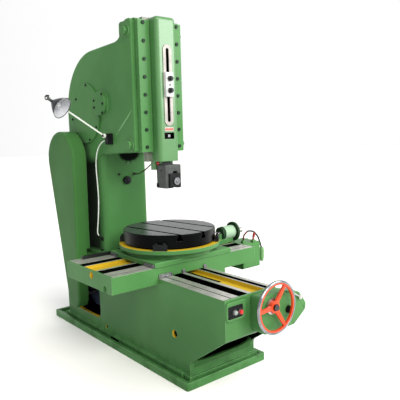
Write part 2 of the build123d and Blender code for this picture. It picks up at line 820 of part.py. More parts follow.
def saddle():
    half = saddle_half_length
    body = block((-half, half), saddle_y, (bed_top + slide_gap, saddle_top))
    body += block((-half, -bed_half_width - side_gap), saddle_y, (saddle_drop, bed_top + 2))
    body += block((bed_right + side_gap, 300), saddle_y, (shoulder_top + slide_gap, bed_top + 2))
    body += block((299, half), saddle_y, (saddle_drop, bed_top + 2))
    rail = block((rail_inset - half, half), (-14, 12), (saddle_top - 1, saddle_top + 22))
    body += rail
    body -= saddle_grooves()
    body -= cross_screw_room()
    drop_y, drop_z = drop_place
    tip = [(drop_y - drop_radius, drop_z + 6), (drop_y, drop_z + 28), (drop_y + drop_radius, drop_z + 6)]
    face = Pos(drop_y, drop_z) * Circle(drop_radius) + make_face(Polyline(*tip, close=True))
    body -= plate_x(face, (-half - 5, -half + 30))
    arch_y, arch_z = arch_place
    arch_x = (-half - 5, -bed_half_width - 60)
    body -= rod_x(arch_radius, arch_x, arch_y, arch_z)
    body -= block(arch_x, (arch_y - arch_radius, arch_y + arch_radius), (saddle_drop - 5, arch_z))
    return body


def saddle_nut():
    y = (saddle_nut_y - 45, saddle_nut_y + 45)
    body = block((-20, 20), y, (saddle_screw_z, bed_top + slide_gap))
    body += block((-36, 36), y, (saddle_screw_z - 32, saddle_screw_z + 27))
    return body - rod_y(saddle_screw_radius + running_fit, 0, (y[0] - 5, y[1] + 5), saddle_screw_z)


def cross_feed_box():
    body = block(gearbox_x, gearbox_y, gearbox_z)
    body = fillet(body.edges().filter_by(Axis.X), 16)
    body += rod_x(34, (gearbox_x[1], gearbox_x[1] + 14), cross_y, cross_screw_z)
    for x, y in lever_pads:
        body += block((x - 15, x + 15), (y - 12, y + 12), (gearbox_z[1] - 2, gearbox_z[1] + 20))
        body -= block((x - 20, x + 20), (y - 7.5, y + 7.5), (gearbox_z[1] - 4, gearbox_z[1] + 40))
        body += rod_y(5, x, (y - 12, y + 12), gearbox_z[1] + lever_pivot_rise)
    hole = cross_screw_radius + running_fit
    return body - rod_x(hole, (gearbox_x[0] - 5, gearbox_x[1] + 30), cross_y, cross_screw_z)


def bent_rod(points, radius, bend):
    path = FilletPolyline(*points, radius=bend)
    start = Plane(origin=path @ 0, z_dir=path % 0)
    return sweep(start * Circle(radius), path=path)


def clutch_lever():
    x, y = lever_pads[0]
    pivot_z = gearbox_z[1] + lever_pivot_rise
    eye = rod_y(11, x, (y - 6.5, y + 6.5), pivot_z) - rod_y(5 + running_fit, x, (y - 8, y + 8), pivot_z)
    steps = [(0, 8), (6, 47), (50, 75), (112, 63), (160, 15), (182, -35), (196, -75)]
    path = [(x + across, y, pivot_z + rise) for across, rise in steps]
    rod = bent_rod(path, 6, [30, 50, 70, 80, 80])
    points = [(0, 0), (13, 0), (19, 30), (19, 90), (12, 112), (0, 112)]
    grip = revolve(Plane.XZ * outline(points, [0, 6, 16, 16, 6, 0]), Axis.Z)
    return eye + rod + Pos(x + 200, y, pivot_z - 185) * grip


def trip_lever():
    x, y = lever_pads[1]
    pivot_z = gearbox_z[1] + lever_pivot_rise
    eye = rod_y(10, x, (y - 6.5, y + 6.5), pivot_z) - rod_y(5 + running_fit, x, (y - 8, y + 8), pivot_z)
    rod = bent_rod([(x, y, pivot_z + 7), (x + 3, y, pivot_z + 30), (x + 12, y, pivot_z + 57)], 7, [40])
    return eye + rod


def cross_screw():
    screw_x = (cross_screw_inset - saddle_half_length, gearbox_x[1] + 20)
    body = rod_x(cross_screw_radius, screw_x, cross_y, cross_screw_z)
    square = Pos(cross_y, cross_screw_z) * Rectangle(20, 20)
    return body + plate_x(square, (gearbox_x[1] + 20, gearbox_x[1] + 62))


def cross_slide():
    floor = saddle_top + slide_gap
    x = (slide_centre - slide_half_length, slide_centre + slide_half_length)
    body = block(x, slide_y, (floor, slide_top))
    body = chamfer(body.edges().group_by(Axis.Z)[-1], 4)
    body += rod_z(neck_radius, slide_centre, cross_y, (slide_top - 1, ring_z[0] + 1))
    body += rod_z(ring_radius, slide_centre, cross_y, ring_z)
    hollow = rod_z(ring_hollow, slide_centre, cross_y, (slide_top + 3, ring_z[1] + 5))
    body -= hollow - rod_z(hub_radius, slide_centre, cross_y, (slide_top, ring_z[1] + 10))
    body -= rod_z(spindle_radius + running_fit, slide_centre, cross_y, (slide_top - 14, ring_z[1] + 10))
    shaft = index_shaft_radius + running_fit
    hole_x = (slide_centre + ring_hollow - 36, slide_centre + ring_radius + 13)
    return body - rod_x(shaft, hole_x, cross_y, index_z)


def cross_nut():
    x = (slide_centre - 40, slide_centre + 40)
    body = block(x, (cross_y - 20, cross_y + 20), (cross_screw_z - 17, saddle_top + slide_gap))
    hole = cross_screw_radius + running_fit
    return body - rod_x(hole, (x[0] - 5, x[1] + 5), cross_y, cross_screw_z)


def table_clamps():
    clamps = []
    for angle in clamp_angles:
        reach = (clamp_inner, clamp_inner + clamp_depth)
        body = block(reach, (-clamp_half_width, clamp_half_width), (ring_z[1], ring_z[1] + 40))
        body = chamfer(body.edges().group_by(Axis.Z)[-1], 5)
        clamps.append(Pos(slide_centre, cross_y, 0) * Rot(0, 0, angle) * body)
    return Compound(children=clamps)


def index_bracket():
    right = slide_centre + slide_half_length
    arm = block((right, drum_x[0] + 20), (cross_y - 44, cross_y + 44), (saddle_top + 1, slide_top))
    drum = rod_x(drum_radius, drum_x, cross_y, index_z)
    drum = fillet(drum.edges().group_by(Axis.X)[-1], 5)
    web = block((drum_x[0] - 60, drum_x[1] - 20), (cross_y - 30, cross_y + 30), (saddle_top + 1, index_z))
    flange = rod_x(drum_flange, (drum_x[0] - 24, drum_x[0]), cross_y, index_z)
    body = arm + web + drum + flange
    hole = index_shaft_radius + running_fit
    return body - rod_x(hole, (right - 5, drum_x[1] + 5), cross_y, index_z)


def index_shaft():
    pinion_x = (slide_centre + crown_radius - 20, slide_centre + crown_radius + 20)
    pinion = plate_x(gear_face(crown_module, index_teeth, (cross_y, index_z), pi / 2), pinion_x)
    shaft = rod_x(index_shaft_radius, (pinion_x[0], drum_x[1] + 20), cross_y, index_z)
    return pinion + shaft + rod_x(20, (drum_x[1] + 17, drum_x[1] + 96), cross_y, index_z)


def index_plate():
    x = (drum_x[1] + 1, drum_x[1] + 17)
    body = rod_x(index_plate_radius, x, cross_y, index_z)
    body = chamfer(body.edges().group_by(Axis.X)[-1], 2)
    return body - rod_x(index_shaft_radius, (x[0] - 5, x[1] + 5), cross_y, index_z)


def table_slot():
    half_neck = tee_neck / 2
    half_head = tee_head / 2
    low = table_top - tee_neck_depth
    floor = low - tee_head_depth
    neck = block((-half_neck, half_neck), (-table_radius - 5, table_radius + 5), (low - 1, table_top + 5))
    return neck + block((-half_head, half_head), (-table_radius - 5, table_radius + 5), (floor, low))


def rotary_table():
    body = rod_z(table_radius, 0, 0, (table_bottom, table_top))
    body = fillet(body.edges().group_by(Axis.Z)[-1], 4)
    body += rod_z(seat_radius, 0, 0, (ring_z[1] + slide_gap, table_bottom + 1))
    body -= rod_z(ring_hollow - 4, 0, 0, (ring_z[1] - 5, table_bottom))
    body += rod_z(spindle_radius, 0, 0, (slide_top - 10, table_bottom + 1))
    recess = rod_z(crown_radius + 25, 0, 0, (table_bottom - 1, table_bottom + 19))
    body -= recess - rod_z(crown_radius - 25, 0, 0, (table_bottom - 5, table_bottom + 30))
    for place in (-slot_pitch, 0, slot_pitch):
        body -= Pos(place, 0, 0) * table_slot()
    return Pos(slide_centre, cross_y, 0) * Rot(0, 0, table_turn) * body


def table_ring_gear():
    # Crown gear under the table; its teeth point down to the pinion of the index shaft
    pitch_z = index_z + crown_module * index_teeth / 2
    root_z = pitch_z + 1.1 * crown_module
    tip_z = pitch_z - 0.85 * crown_module
    inner = crown_radius - crown_half_width
    outer = crown_radius + crown_half_width
    ring = rod_z(outer, 0, 0, (root_z, table_bottom + 19))
    ring -= rod_z(inner, 0, 0, (root_z - 5, table_bottom + 30))
    half = pi * crown_module / 4 - crown_backlash
    points = [(-half - 1.6, root_z + 1), (-half + 1.6, tip_z), (half - 1.6, tip_z), (half + 1.6, root_z + 1)]
    tooth = plate_x(make_face(Polyline(*points, close=True)), (inner + 0.5, outer - 1))
    body = ring
    half_pitch = 180 / crown_teeth
    body += [Rot(0, 0, half_pitch + index * 360 / crown_teeth) * tooth for index in range(crown_teeth)]
    return Pos(slide_centre, cross_y, 0) * body


def saddle_screw():
    rear = shoulder_end - wall + 16
    body = rod_y(saddle_screw_radius, 0, (feed_box_front - 1, rear), saddle_screw_z)
    body += rod_y(46, 0, (feed_box_front - 1 - dial_thick, feed_box_front - 1), saddle_screw_z)
    body += rod_y(16, 0, (hub_front, feed_box_front - dial_thick), saddle_screw_z)
    nut = Pos(0, saddle_screw_z) * RegularPolygon(20, 6)
    return body + plate_y(nut, (hub_front - 12, hub_front))


def handwheel_rim():
    section = Pos(wheel_radius, 0) * Ellipse(wheel_rim, wheel_rim + 1)
    section -= Pos(wheel_radius - wheel_rim - 20 + 4, 0) * Rectangle(40, 60)
    body = revolve(Plane.XY * section, Axis.Y)
    return Pos(0, wheel_plane, saddle_screw_z) * body


def handwheel_spider():
    # Dished: the hub lies behind the rim, and the spokes lean out to it
    inner = wheel_radius - wheel_rim + 4
    dish = (hub_front + hub_rear) / 2 - wheel_plane
    lean = degrees(atan2(dish, inner))
    hub = Pos(0, dish, 0) * Rot(90, 0, 0) * Cylinder(wheel_hub_radius, hub_rear - hub_front)
    ring = Rot(90, 0, 0) * (Cylinder(inner, 14) - Cylinder(inner - 10, 30))
    spoke = plate_y(outline([(-14, 20), (-9, inner - 4), (9, inner - 4), (14, 20)], 0), (-6, 6))
    body = hub + ring
    body += [Pos(0, dish, 0) * Rot(0, turn, 0) * Rot(lean, 0, 0) * spoke for turn in (30, 150, 270)]
    body -= Rot(90, 0, 0) * Cylinder(16, 90)
    return Pos(0, wheel_plane, saddle_screw_z) * body


def feed_box():
    points = [(-78, 592), (110, 598), (246, 562), (306, 484), (304, 446), (202, 374), (-44, 374), (-78, 408)]
    body = plate_y(outline(points, [20, 60, 40, 24, 30, 40, 24, 24]), (feed_box_front, bed_front))
    body = fillet(body.edges().group_by(Axis.Y)[0], 8)
    body -= rod_y(saddle_screw_radius + running_fit, 0, (feed_box_front - 5, bed_front + 5), saddle_screw_z)
    for x, z in (feed_knob_place, shift_lever_place):
        body -= rod_y(8 + running_fit, x, (feed_box_front - 5, feed_box_front + 24), z)
    return body


def feed_knob():
    x, z = feed_knob_place
    knob = plate_y(Pos(x, z) * RegularPolygon(23, 10), (feed_box_front - 26, feed_box_front - 0.6))
    return knob + rod_y(8, x, (feed_box_front - 1, feed_box_front + 20), z)


def shift_lever():
    x, z = shift_lever_place
    y = feed_box_front - 9
    hub = rod_y(14, x, (feed_box_front - 17, feed_box_front - 0.6), z)
    stem = rod_y(8, x, (feed_box_front - 1, feed_box_front + 20), z)
    way = Vector(shift_lever_tip[0] - x, 0, shift_lever_tip[1] - z)
    arm = extrude(Plane(origin=(x, y, z), z_dir=way) * Circle(5.5), way.length)
    return hub + stem + arm


def button_panel():
    body = block(panel_x, (bed_front - 10, bed_front), panel_z)
    body = fillet(body.edges().filter_by(Axis.Y), 8)
    for place in (start_place, stop_place):
        body -= rod_y(9 + running_fit, place[0], (bed_front - 15, bed_front + 5), place[1])
    return body


def push_button(place):
    cap = rod_y(button_radius, place[0], (bed_front - 25, bed_front - 14.5), place[1])
    cap = fillet(cap.edges().group_by(Axis.Y)[0], 3)
    return cap + rod_y(9, place[0], (bed_front - 14.5, bed_front - 6), place[1])


def oil_sight():
    ring = rod_y(30, 3, (column_front - 22, column_front), head_bottom - 219)
    return fillet(ring.edges().group_by(Axis.Y)[0], 6)


def oil_pipe():
    start_z = head_bottom - 175
    points = [(72, column_front, start_z), (72, 150, start_z), (20, -20, start_z + 39)]
    points += [(-25, -190, start_z + 99), (-25, -190, start_z + 167)]
    return bent_rod(points, 4.5, [30, 60, 25]) + rod_y(11, 72, (column_front - 12, column_front), start_z)


def lamp_bracket():
    body = block((-240, -head_half_width), lamp_bracket_y, lamp_bracket_z)
    body = chamfer(body.edges().filter_by(Axis.X), 6)
    return body + rod_x(8, (-270, -238), lamp_pivot[1], lamp_pivot[2])


def lamp_hinge_way():
    # Level, and square to the shade's axis
    return Vector(-lamp_mouth_way[1], lamp_mouth_way[0], 0).normalized()


def lamp_hinge(radius, start, end):
    origin = Vector(*lamp_neck) + lamp_hinge_way() * start
    return extrude(Plane(origin=origin, z_dir=lamp_hinge_way()) * Circle(radius), end - start)


def lamp_arm():
    x, y, z = lamp_pivot
    eye = rod_x(15, (x - 8, x + 8), y, z)
    knuckle = lamp_hinge(12, 11, 21)
    pin = lamp_hinge(6, -10, 11)
    start = Vector(*lamp_pivot)
    way = Vector(*lamp_neck) + lamp_hinge_way() * 16 - start
    rod = extrude(Plane(origin=start, z_dir=way) * Circle(5.5), way.length)
    body = eye + rod + knuckle + pin
    return body - rod_x(8 + running_fit, (x - 20, x + 20), y, z)


def lamp_axis():
    return Plane(origin=lamp_neck, z_dir=lamp_mouth_way)


def shade_profile():
    outer = [(0, 10), (10, 10), (10, 44), (38, 78), (60, 108), (shade_radius, shade_depth)]
    inner = [(shade_radius - 2.5, shade_depth), (57.5, 109.5), (35.5, 80), (18, 60), (0, 60)]
    return outline(outer + inner, [0, 0, 6, 60, 60, 0, 0, 60, 60, 4, 0])


def lamp_shade():
    shade = revolve(Plane.XZ * shade_profile(), Axis.Z)
    body = lamp_axis() * shade + lamp_hinge(14, -9, 9)
    return body - lamp_hinge(6 + running_fit, -20, 20)


def lamp_bulb():
    points = [(0, 60), (11, 60), (11, 72), (25, 91), (14, 115), (0, 117)]
    return lamp_axis() * revolve(Plane.XZ * outline(points, [0, 0, 8, 18, 12, 0]), Axis.Z)


def cable_points():
    # The share places each point's height between the gland and the lamp bracket
    x, y, z = gland_place
    hang = [(-222, 72, 1.0), (-222, 104, 1.0), (-228, 144, 0.981), (-234, 186, 0.931), (-236, 214, 0.856)]
    hang += [(-235, 230, 0.772), (-232, 235, 0.689), (-229, 234, 0.606), (-228, 232, 0.526)]
    hang += [(-227, 232, 0.446), (-227, 236, 0.366), (-228, 243, 0.287), (-230, 250, 0.208), (-232, 257, 0.145)]
    points = [(px, py, z + share * (cable_top - z)) for px, py, share in hang]
    points += [(x - 43, y - 3, z + 65), (x - 37, y, z + 37), (x - 14.1, y, z + 14.1)]
    return points


def cable_bends():
    points = [Vector(*point) for point in cable_points()]
    bends = []
    for before, corner, after in zip(points, points[1:], points[2:]):
        turn = radians((corner - before).get_angle(after - corner))
        shorter = min((corner - before).length, (after - corner).length)
        bends.append(0.45 * shorter / tan(turn / 2))
    return bends


def lamp_cable():
    bends = cable_bends()
    path = FilletPolyline(*cable_points(), radius=bends)
    tube = sweep(Plane(origin=path @ 0, z_dir=path % 0) * Circle(cable_radius), path=path)
    print("cable bend radii", [round(bend) for bend in bends])
    whole = pi * cable_radius ** 2 * path.length
    print("cable length", round(path.length), "volume by section and length", round(tube.volume / whole, 4))
    return tube


def cable_gland():
    # Set at 45 degrees on the column's side, so that the cable turns gently
    seat = Plane(origin=gland_place, z_dir=(-1, 0, 1))
    body = seat * (Pos(0, 0, -2) * Cylinder(12, 28))
    x, y, z = gland_place
    body -= block((x, x + 60), (y - 40, y + 40), (z - 60, z + 60))
    return body + seat * (Pos(0, 0, 12) * extrude(RegularPolygon(11, 6), 8))


def save(name, shape):
    export_step(shape, "parts/" + name + ".step")


def main():
    os.makedirs("parts", exist_ok=True)
    makers = [base_casting, column_casting, gear_cover, bearing_cap, belt_guard, drive_belts, motor]
    makers += [lever_pivot_pin, oil_sight, oil_pipe, tilt_bolts, lamp_bracket, cable_gland, lamp_cable]
    makers += [feed_box, button_panel, guide_frame, guide_strips, strip_bolts, ram, ram_slot_plate]
    makers += [ram_clamp_block, clamp_nuts, ram_bracket, ram_adjuster, tool_head, tool_clamp_plate]
    makers += [tool_clamp_screws, tool_hinge_pin, rocker_lever, crank_block, bull_gear, second_shaft]
    makers += [input_shaft, driven_pulley, motor_pulley, saddle, saddle_nut, cross_feed_box, clutch_lever]
    makers += [trip_lever, cross_screw, cross_slide, cross_nut, table_clamps, index_bracket, index_shaft]
    makers += [index_plate, rotary_table, table_ring_gear, saddle_screw, handwheel_rim, handwheel_spider]
    makers += [feed_knob, shift_lever, lamp_arm, lamp_shade, lamp_bulb]
    for maker in makers:
        save(maker.__name__, maker())
    save("start_button", push_button(start_place))
    save("stop_button", push_button(stop_place))


main()
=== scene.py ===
import math
import bmesh
import bpy
from mathutils import Matrix, Vector


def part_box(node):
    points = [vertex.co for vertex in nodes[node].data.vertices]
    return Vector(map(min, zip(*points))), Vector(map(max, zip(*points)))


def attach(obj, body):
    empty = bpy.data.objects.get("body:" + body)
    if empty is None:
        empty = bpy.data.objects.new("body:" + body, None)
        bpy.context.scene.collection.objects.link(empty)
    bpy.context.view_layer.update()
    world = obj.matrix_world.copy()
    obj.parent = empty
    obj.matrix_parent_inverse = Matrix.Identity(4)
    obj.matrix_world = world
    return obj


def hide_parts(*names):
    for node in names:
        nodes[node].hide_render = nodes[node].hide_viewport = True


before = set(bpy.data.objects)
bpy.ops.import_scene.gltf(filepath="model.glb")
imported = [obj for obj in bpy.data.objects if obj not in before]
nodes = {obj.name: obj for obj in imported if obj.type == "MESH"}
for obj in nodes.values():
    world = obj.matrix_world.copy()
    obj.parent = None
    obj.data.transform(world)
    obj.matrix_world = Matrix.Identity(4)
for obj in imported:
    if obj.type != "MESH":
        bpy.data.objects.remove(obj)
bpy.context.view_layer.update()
scene = bpy.context.scene
print("frame loaded:", len(nodes), "nodes")


def addObject(name, data):
    thing = bpy.data.objects.new(name, data)
    scene.collection.objects.link(thing)
    return thing


# Camera at the photograph's viewing angle, for a picture of 400 by 400 pixels
cameraView = {
    "place": (-2.0476, -3.1182, 1.4795),
    "ahead": (0.6300, 0.7627, -0.1464),
    "right": (0.7685, -0.6394, -0.0239),
    "imagePixels": 400,
    "focalPixels": 514.7,
    "axisPixel": (198.7, 211.2),
    "sensor": 36.0,
    "clipEnd": 200,
}


def setCamera(v):
    half = v["imagePixels"] / 2
    lens = bpy.data.cameras.new("photoCamera")
    lens.sensor_fit = "HORIZONTAL"
    lens.sensor_width = v["sensor"]
    lens.lens = v["sensor"] * v["focalPixels"] / v["imagePixels"]
    lens.shift_x = (half - v["axisPixel"][0]) / v["imagePixels"]
    lens.shift_y = (v["axisPixel"][1] - half) / v["imagePixels"]
    lens.clip_end = v["clipEnd"]
    ahead = Vector(v["ahead"]).normalized()
    right = Vector(v["right"]).normalized()
    turn = Matrix((right, right.cross(ahead), -ahead)).transposed()
    camera = addObject("photoCamera", lens)
    camera.matrix_world = Matrix.Translation(v["place"]) @ turn.to_4x4()
    scene.camera = camera


setCamera(cameraView)

# Lamp cord: from the arm's bracket down the column to its gland
lampCord = {
    "route": [
        (-0.222, 0.072, 1.4580), (-0.222, 0.104, 1.4580), (-0.228, 0.144, 1.4440), (-0.234, 0.186, 1.4072),
        (-0.236, 0.214, 1.3520), (-0.235, 0.230, 1.2902), (-0.232, 0.235, 1.2291), (-0.229, 0.234, 1.1680),
        (-0.228, 0.232, 1.1091), (-0.227, 0.232, 1.0503), (-0.227, 0.236, 0.9914), (-0.228, 0.243, 0.9332),
        (-0.230, 0.250, 0.8751), (-0.232, 0.257, 0.8287), (-0.233, 0.265, 0.7870), (-0.227, 0.268, 0.7590),
        (-0.2041, 0.268, 0.7361),
    ],
    "length": 0.821,
    "diameter": 0.008,
}


def layCord(name, route, diameter):
    curve = bpy.data.curves.new(name, "CURVE")
    curve.dimensions = "3D"
    curve.bevel_depth = 1.0
    curve.bevel_resolution = 4
    curve.resolution_u = 10
    curve.use_fill_caps = True
    line = curve.splines.new("NURBS")
    line.points.add(len(route) - 1)
    for point, place in zip(line.points, route):
        point.co = (*place, 1)
        point.radius = diameter / 2
    line.order_u = 3  # set after the points, or it stays straight
    line.use_endpoint_u = True
    return addObject(name, curve)


cord = layCord("lampCord", lampCord["route"], lampCord["diameter"])
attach(cord, "frame")
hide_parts("lamp_cable")
print("camera set and cord laid")


# Shader maths: a Wire is one output socket, and operators on it add Math nodes
def mathNode(operation, swapped=False):
    def apply(self, other=0.0):
        first, second = (other, self) if swapped else (self, other)
        return self.board.node("ShaderNodeMath", {"operation": operation}, {0: first, 1: second})

    return apply


class Wire:
    root = mathNode("SQRT")
    sine = mathNode("SINE")
    angle = mathNode("ARCTAN2")
    __add__ = __radd__ = mathNode("ADD")
    __sub__ = mathNode("SUBTRACT")
    __rsub__ = mathNode("SUBTRACT", True)
    __mul__ = __rmul__ = mathNode("MULTIPLY")
    __truediv__ = mathNode("DIVIDE")
    __mod__ = mathNode("FLOORED_MODULO")
    __gt__ = mathNode("GREATER_THAN")
    __lt__ = mathNode("LESS_THAN")
    __or__ = mathNode("MAXIMUM")

    def __init__(self, board, socket):
        self.board = board
        self.socket = socket

    def beside(self, name):
        return Wire(self.board, self.socket.node.outputs[name])

    def vector(self, operation, other, out="Vector"):
        return self.board.node("ShaderNodeVectorMath", {"operation": operation}, {0: self, 1: other}, out)

    def dot(self, other):
        return self.vector("DOT_PRODUCT", other, "Value")


def opaque(colour):
    return colour if isinstance(colour, Wire) else (*colour, 1)


edgeTurn = (0.985, 0.80)  # cosines between flat and rounded normal where an edge starts and is full


# A board is one node tree, and a finish is the tree of a material
class Board:
    def __init__(self, tree):
        self.tree = tree
        tree.nodes.clear()

    def node(self, kind, settings, sockets, out=0):
        made = self.tree.nodes.new(kind)
        for name, value in settings.items():
            setattr(made, name, value)
        for name, value in sockets.items():
            if isinstance(value, Wire):
                self.tree.links.new(value.socket, made.inputs[name])
            else:
                made.inputs[name].default_value = value
        return Wire(self, made.outputs[out]) if made.outputs else None

    def ramp(self, value, low, high, first=0.0, last=1.0):
        sockets = {"Value": value, "From Min": low, "From Max": high, "To Min": first, "To Max": last}
        return self.node("ShaderNodeMapRange", {"interpolation_type": "SMOOTHSTEP"}, sockets, "Result")


class Finish(Board):
    def __init__(self, name):
        self.material = bpy.data.materials.new(name)
        self.material.use_nodes = True
        super().__init__(self.material.node_tree)
        self.place = self.node("ShaderNodeTexCoord", {}, {}, "Object")  # the shared frame at rest, in metres
        self.x = self.node("ShaderNodeSeparateXYZ", {}, {0: self.place}, "X")
        self.y = self.x.beside("Y")
        self.z = self.x.beside("Z")
        self.facing = self.node("ShaderNodeNewGeometry", {}, {}, "Normal")
        self.up = self.node("ShaderNodeSeparateXYZ", {}, {0: self.facing}, "Z")

    def grain(self, scales, detail=3.0):  # one scale, or one for each axis
        each = scales if isinstance(scales, tuple) else (scales, scales, scales)
        where = self.place.vector("MULTIPLY", each)
        return self.node("ShaderNodeTexNoise", {}, {"Vector": where, "Scale": 1.0, "Detail": detail})

    def mix(self, factor, first, second):  # a Mix node's colours are inputs 6 and 7 and output 2
        sockets = {0: factor, 6: opaque(first), 7: opaque(second)}
        return self.node("ShaderNodeMix", {"data_type": "RGBA"}, sockets, 2)

    def rounded(self, radius):
        return self.node("ShaderNodeBevel", {"samples": 4}, {"Radius": radius}, "Normal")

    def edge(self, rounded):
        return self.ramp(rounded.dot(self.facing), *edgeTurn)

    def bump(self, height, strength, distance, normal=None):
        sockets = {"Strength": strength, "Distance": distance, "Height": height}
        if normal:
            sockets["Normal"] = normal
        return self.node("ShaderNodeBump", {}, sockets, "Normal")

    def surface(self, colour, roughness, metallic, normal, specular=0.5, coat=(0.0, 0.03)):
        sockets = {"Base Color": opaque(colour), "Roughness": roughness, "Metallic": metallic,
                   "Normal": normal, "Specular IOR Level": specular,
                   "Coat Weight": coat[0], "Coat Roughness": coat[1]}
        shader = self.node("ShaderNodeBsdfPrincipled", {}, sockets, "BSDF")
        self.node("ShaderNodeOutputMaterial", {}, {"Surface": shader})
        return self.material


skin = 0.0006  # depth within which a point counts as on a face
flatUp = 0.9  # a face lies flat when its normal's height is over this


def inside(value, low, high):
    return (value > low) * (value < high)


def inBox(f, x, y, z):
    return inside(f.x, *x) * inside(f.y, *y) * inside(f.z, *z)


def either(masks):
    whole, *others = masks
    for mask in others:
        whole = whole | mask
    return whole


def outOf(a, b, middle):  # squared distance from a middle point, in two of the axes
    da = a - middle[0]
    db = b - middle[1]
    return da * da + db * db


def laySpots(f, spots, colour, roughness, metallic):  # rows of mask, colour, roughness and metallic
    for mask, tint, rough, metal in spots(f) if spots else ():
        colour = f.mix(mask, colour, tint)
        roughness = roughness + (rough - roughness) * mask
        metallic = metallic * (1 - mask) + metal * mask
    return colour, roughness, metallic


# Green enamel over filled castings; spots are bare, black or yellow places, and painted shade, on the same
# casting
greenTones = {
    "shade": (0.046, 0.147, 0.042),
    "light": (0.059, 0.173, 0.053),
    "wearAndHighlight": (0.190, 0.390, 0.180),
    "grime": (0.008, 0.026, 0.008),
    "roughness": 0.34,
    "roundEdge": 0.006,
    "gloss": 0.10,
    "coat": 0.02,
    "edgeCoat": 0.75,
    "coatRoughness": 0.22,
}
ramTones = {**greenTones, "gloss": 0.50, "coat": 0.20}
# Darker green: the belt guard's own olive, partly painted shade; on the toe lip it is painted shade
guardAndShadeTones = {**greenTones, "shade": (0.033, 0.112, 0.028), "light": (0.043, 0.134, 0.036),
              "gloss": 0.06, "coat": 0.0}
# The rib's paler green is a painted highlight along it
ribHighlightTones = {**greenTones, "shade": (0.120, 0.280, 0.110), "light": (0.150, 0.320, 0.140)}
darkGreen = (0.010, 0.034, 0.013)
indexTones = {**greenTones, "shade": (0.008, 0.028, 0.010), "light": darkGreen}
ochre = (0.46, 0.31, 0.015)
# Near black: the oil groove, and painted shade in grooves, openings and holes
grooveBlack = (0.004, 0.004, 0.004)
steelDull = (0.35, 0.345, 0.325)
steelBright = (0.58, 0.57, 0.54)
# Black in the oil grooves, and painted shade in the ram's openings
oilGrooveAndShadeCoat = (grooveBlack, 0.7, 1.0)  # coats are colour, roughness and metallic
# Near black in the deep way grooves, as painted shade
grooveShadeCoat = (grooveBlack, 0.6, 1.0)
# Near black: painted shade in the bed's hollow rooms, its holes and on the column under the head
roomShadeCoat = ((0.005, 0.008, 0.005), 0.8, 1.0)
ochreCoat = (ochre, 0.45, 0.0)
enamelWear = {
    "cloud": (2.3, 2.3, 1.6),
    "cloudTurn": (0.36, 0.64),
    "speck": 70,
    "chips": 31,
    "chipTurn": (0.36, 0.62),
    "edgeShares": (0.35, 0.35, 0.3),  # on every edge, in chips, and more on the foot's rim: paint wear, partly painted highlight
    "footRim": 0.075,
    "grimeBand": (0.16, 0.02),
    "grimeGrain": 14,
    "grimeTurn": (0.42, 0.70),
    "lowShadeBand": (0.60, 0.22),  # painted shade: the lower half is darker, apart from the foot
    "lowShadeFoot": (0.05, 0.12),
    "darkShares": (0.4, 0.22),  # of grime and of the painted low shade in the colour
    "roughShares": (0.16, 0.08, 0.2),  # of cloud, speck and grime
    "peelGrains": [150, 11],
    "peelFine": 0.35,
    "peel": (0.10, 0.004),
}


def enamel(name, tones, spots=None):
    f = Finish(name)
    w = enamelWear
    cloud = f.grain(w["cloud"], 4.0)
    speck = f.grain(w["speck"], 2.0)
    colour = f.mix(f.ramp(cloud, *w["cloudTurn"]), tones["shade"], tones["light"])
    rounded = f.rounded(tones["roundEdge"])
    edge = f.edge(rounded)
    onEdge, inChips, onRim = w["edgeShares"]
    chips = f.ramp(f.grain(w["chips"]), *w["chipTurn"])
    # Edges take a paler green: paint wear, partly a painted highlight, most on the foot's rim
    wearAndHighlight = edge * (onEdge + chips * inChips + (f.z < w["footRim"]) * onRim)
    colour = f.mix(wearAndHighlight, colour, tones["wearAndHighlight"])
    grime = f.ramp(f.z, *w["grimeBand"]) * f.ramp(f.grain(w["grimeGrain"]), *w["grimeTurn"])
    # Painted shade: the lower half, apart from the foot, is darkened towards the grime colour along with the
    # grime
    lowShade = f.ramp(f.z, *w["lowShadeBand"]) * f.ramp(f.z, *w["lowShadeFoot"])
    byGrime, byLowShade = w["darkShares"]
    colour = f.mix(grime * byGrime + lowShade * byLowShade, colour, tones["grime"])
    byCloud, bySpeck, byGrime = w["roughShares"]
    roughness = tones["roughness"] + (cloud - 0.5) * byCloud + (speck - 0.5) * bySpeck + grime * byGrime
    colour, roughness, metallic = laySpots(f, spots, colour, roughness, 0.0)
    fine, coarse = w["peelGrains"]
    height = f.grain(fine, 1.0) * w["peelFine"] + f.grain(coarse, 2.0)
    normal = f.bump(height, *w["peel"], rounded)
    coat = (edge * tones["edgeCoat"] + tones["coat"], tones["coatRoughness"])
    return f.surface(colour, roughness, metallic, normal, tones["gloss"], coat)


# Bare steel with marks along one way: dull and bright tone, roughness, metallic, grain of the marks
steelTones = {
    "bright": (steelDull, steelBright, 0.34, 1.0, (40, 40, 900)),
    "dark": ((0.012, 0.013, 0.014), (0.034, 0.036, 0.038), 0.46, 1.0, 160),
    "gear": ((0.20, 0.20, 0.19), (0.36, 0.36, 0.35), 0.36, 1.0, (600, 60, 60)),
    "chrome": ((0.19, 0.205, 0.215), (0.30, 0.315, 0.33), 0.22, 1.0, 25),
    "wiper": ((0.12, 0.125, 0.13), (0.24, 0.25, 0.26), 0.40, 1.0, (120, 120, 40)),
    "copper": ((0.012, 0.022, 0.006), (0.026, 0.040, 0.012), 0.50, 0.2, 90),
}
steelWear = {"markTurn": (0.30, 0.70), "smear": 9, "edgeShare": 0.5, "roughShares": (0.25, 0.10),
             "roundEdge": 0.0015, "bump": (0.06, 0.001)}


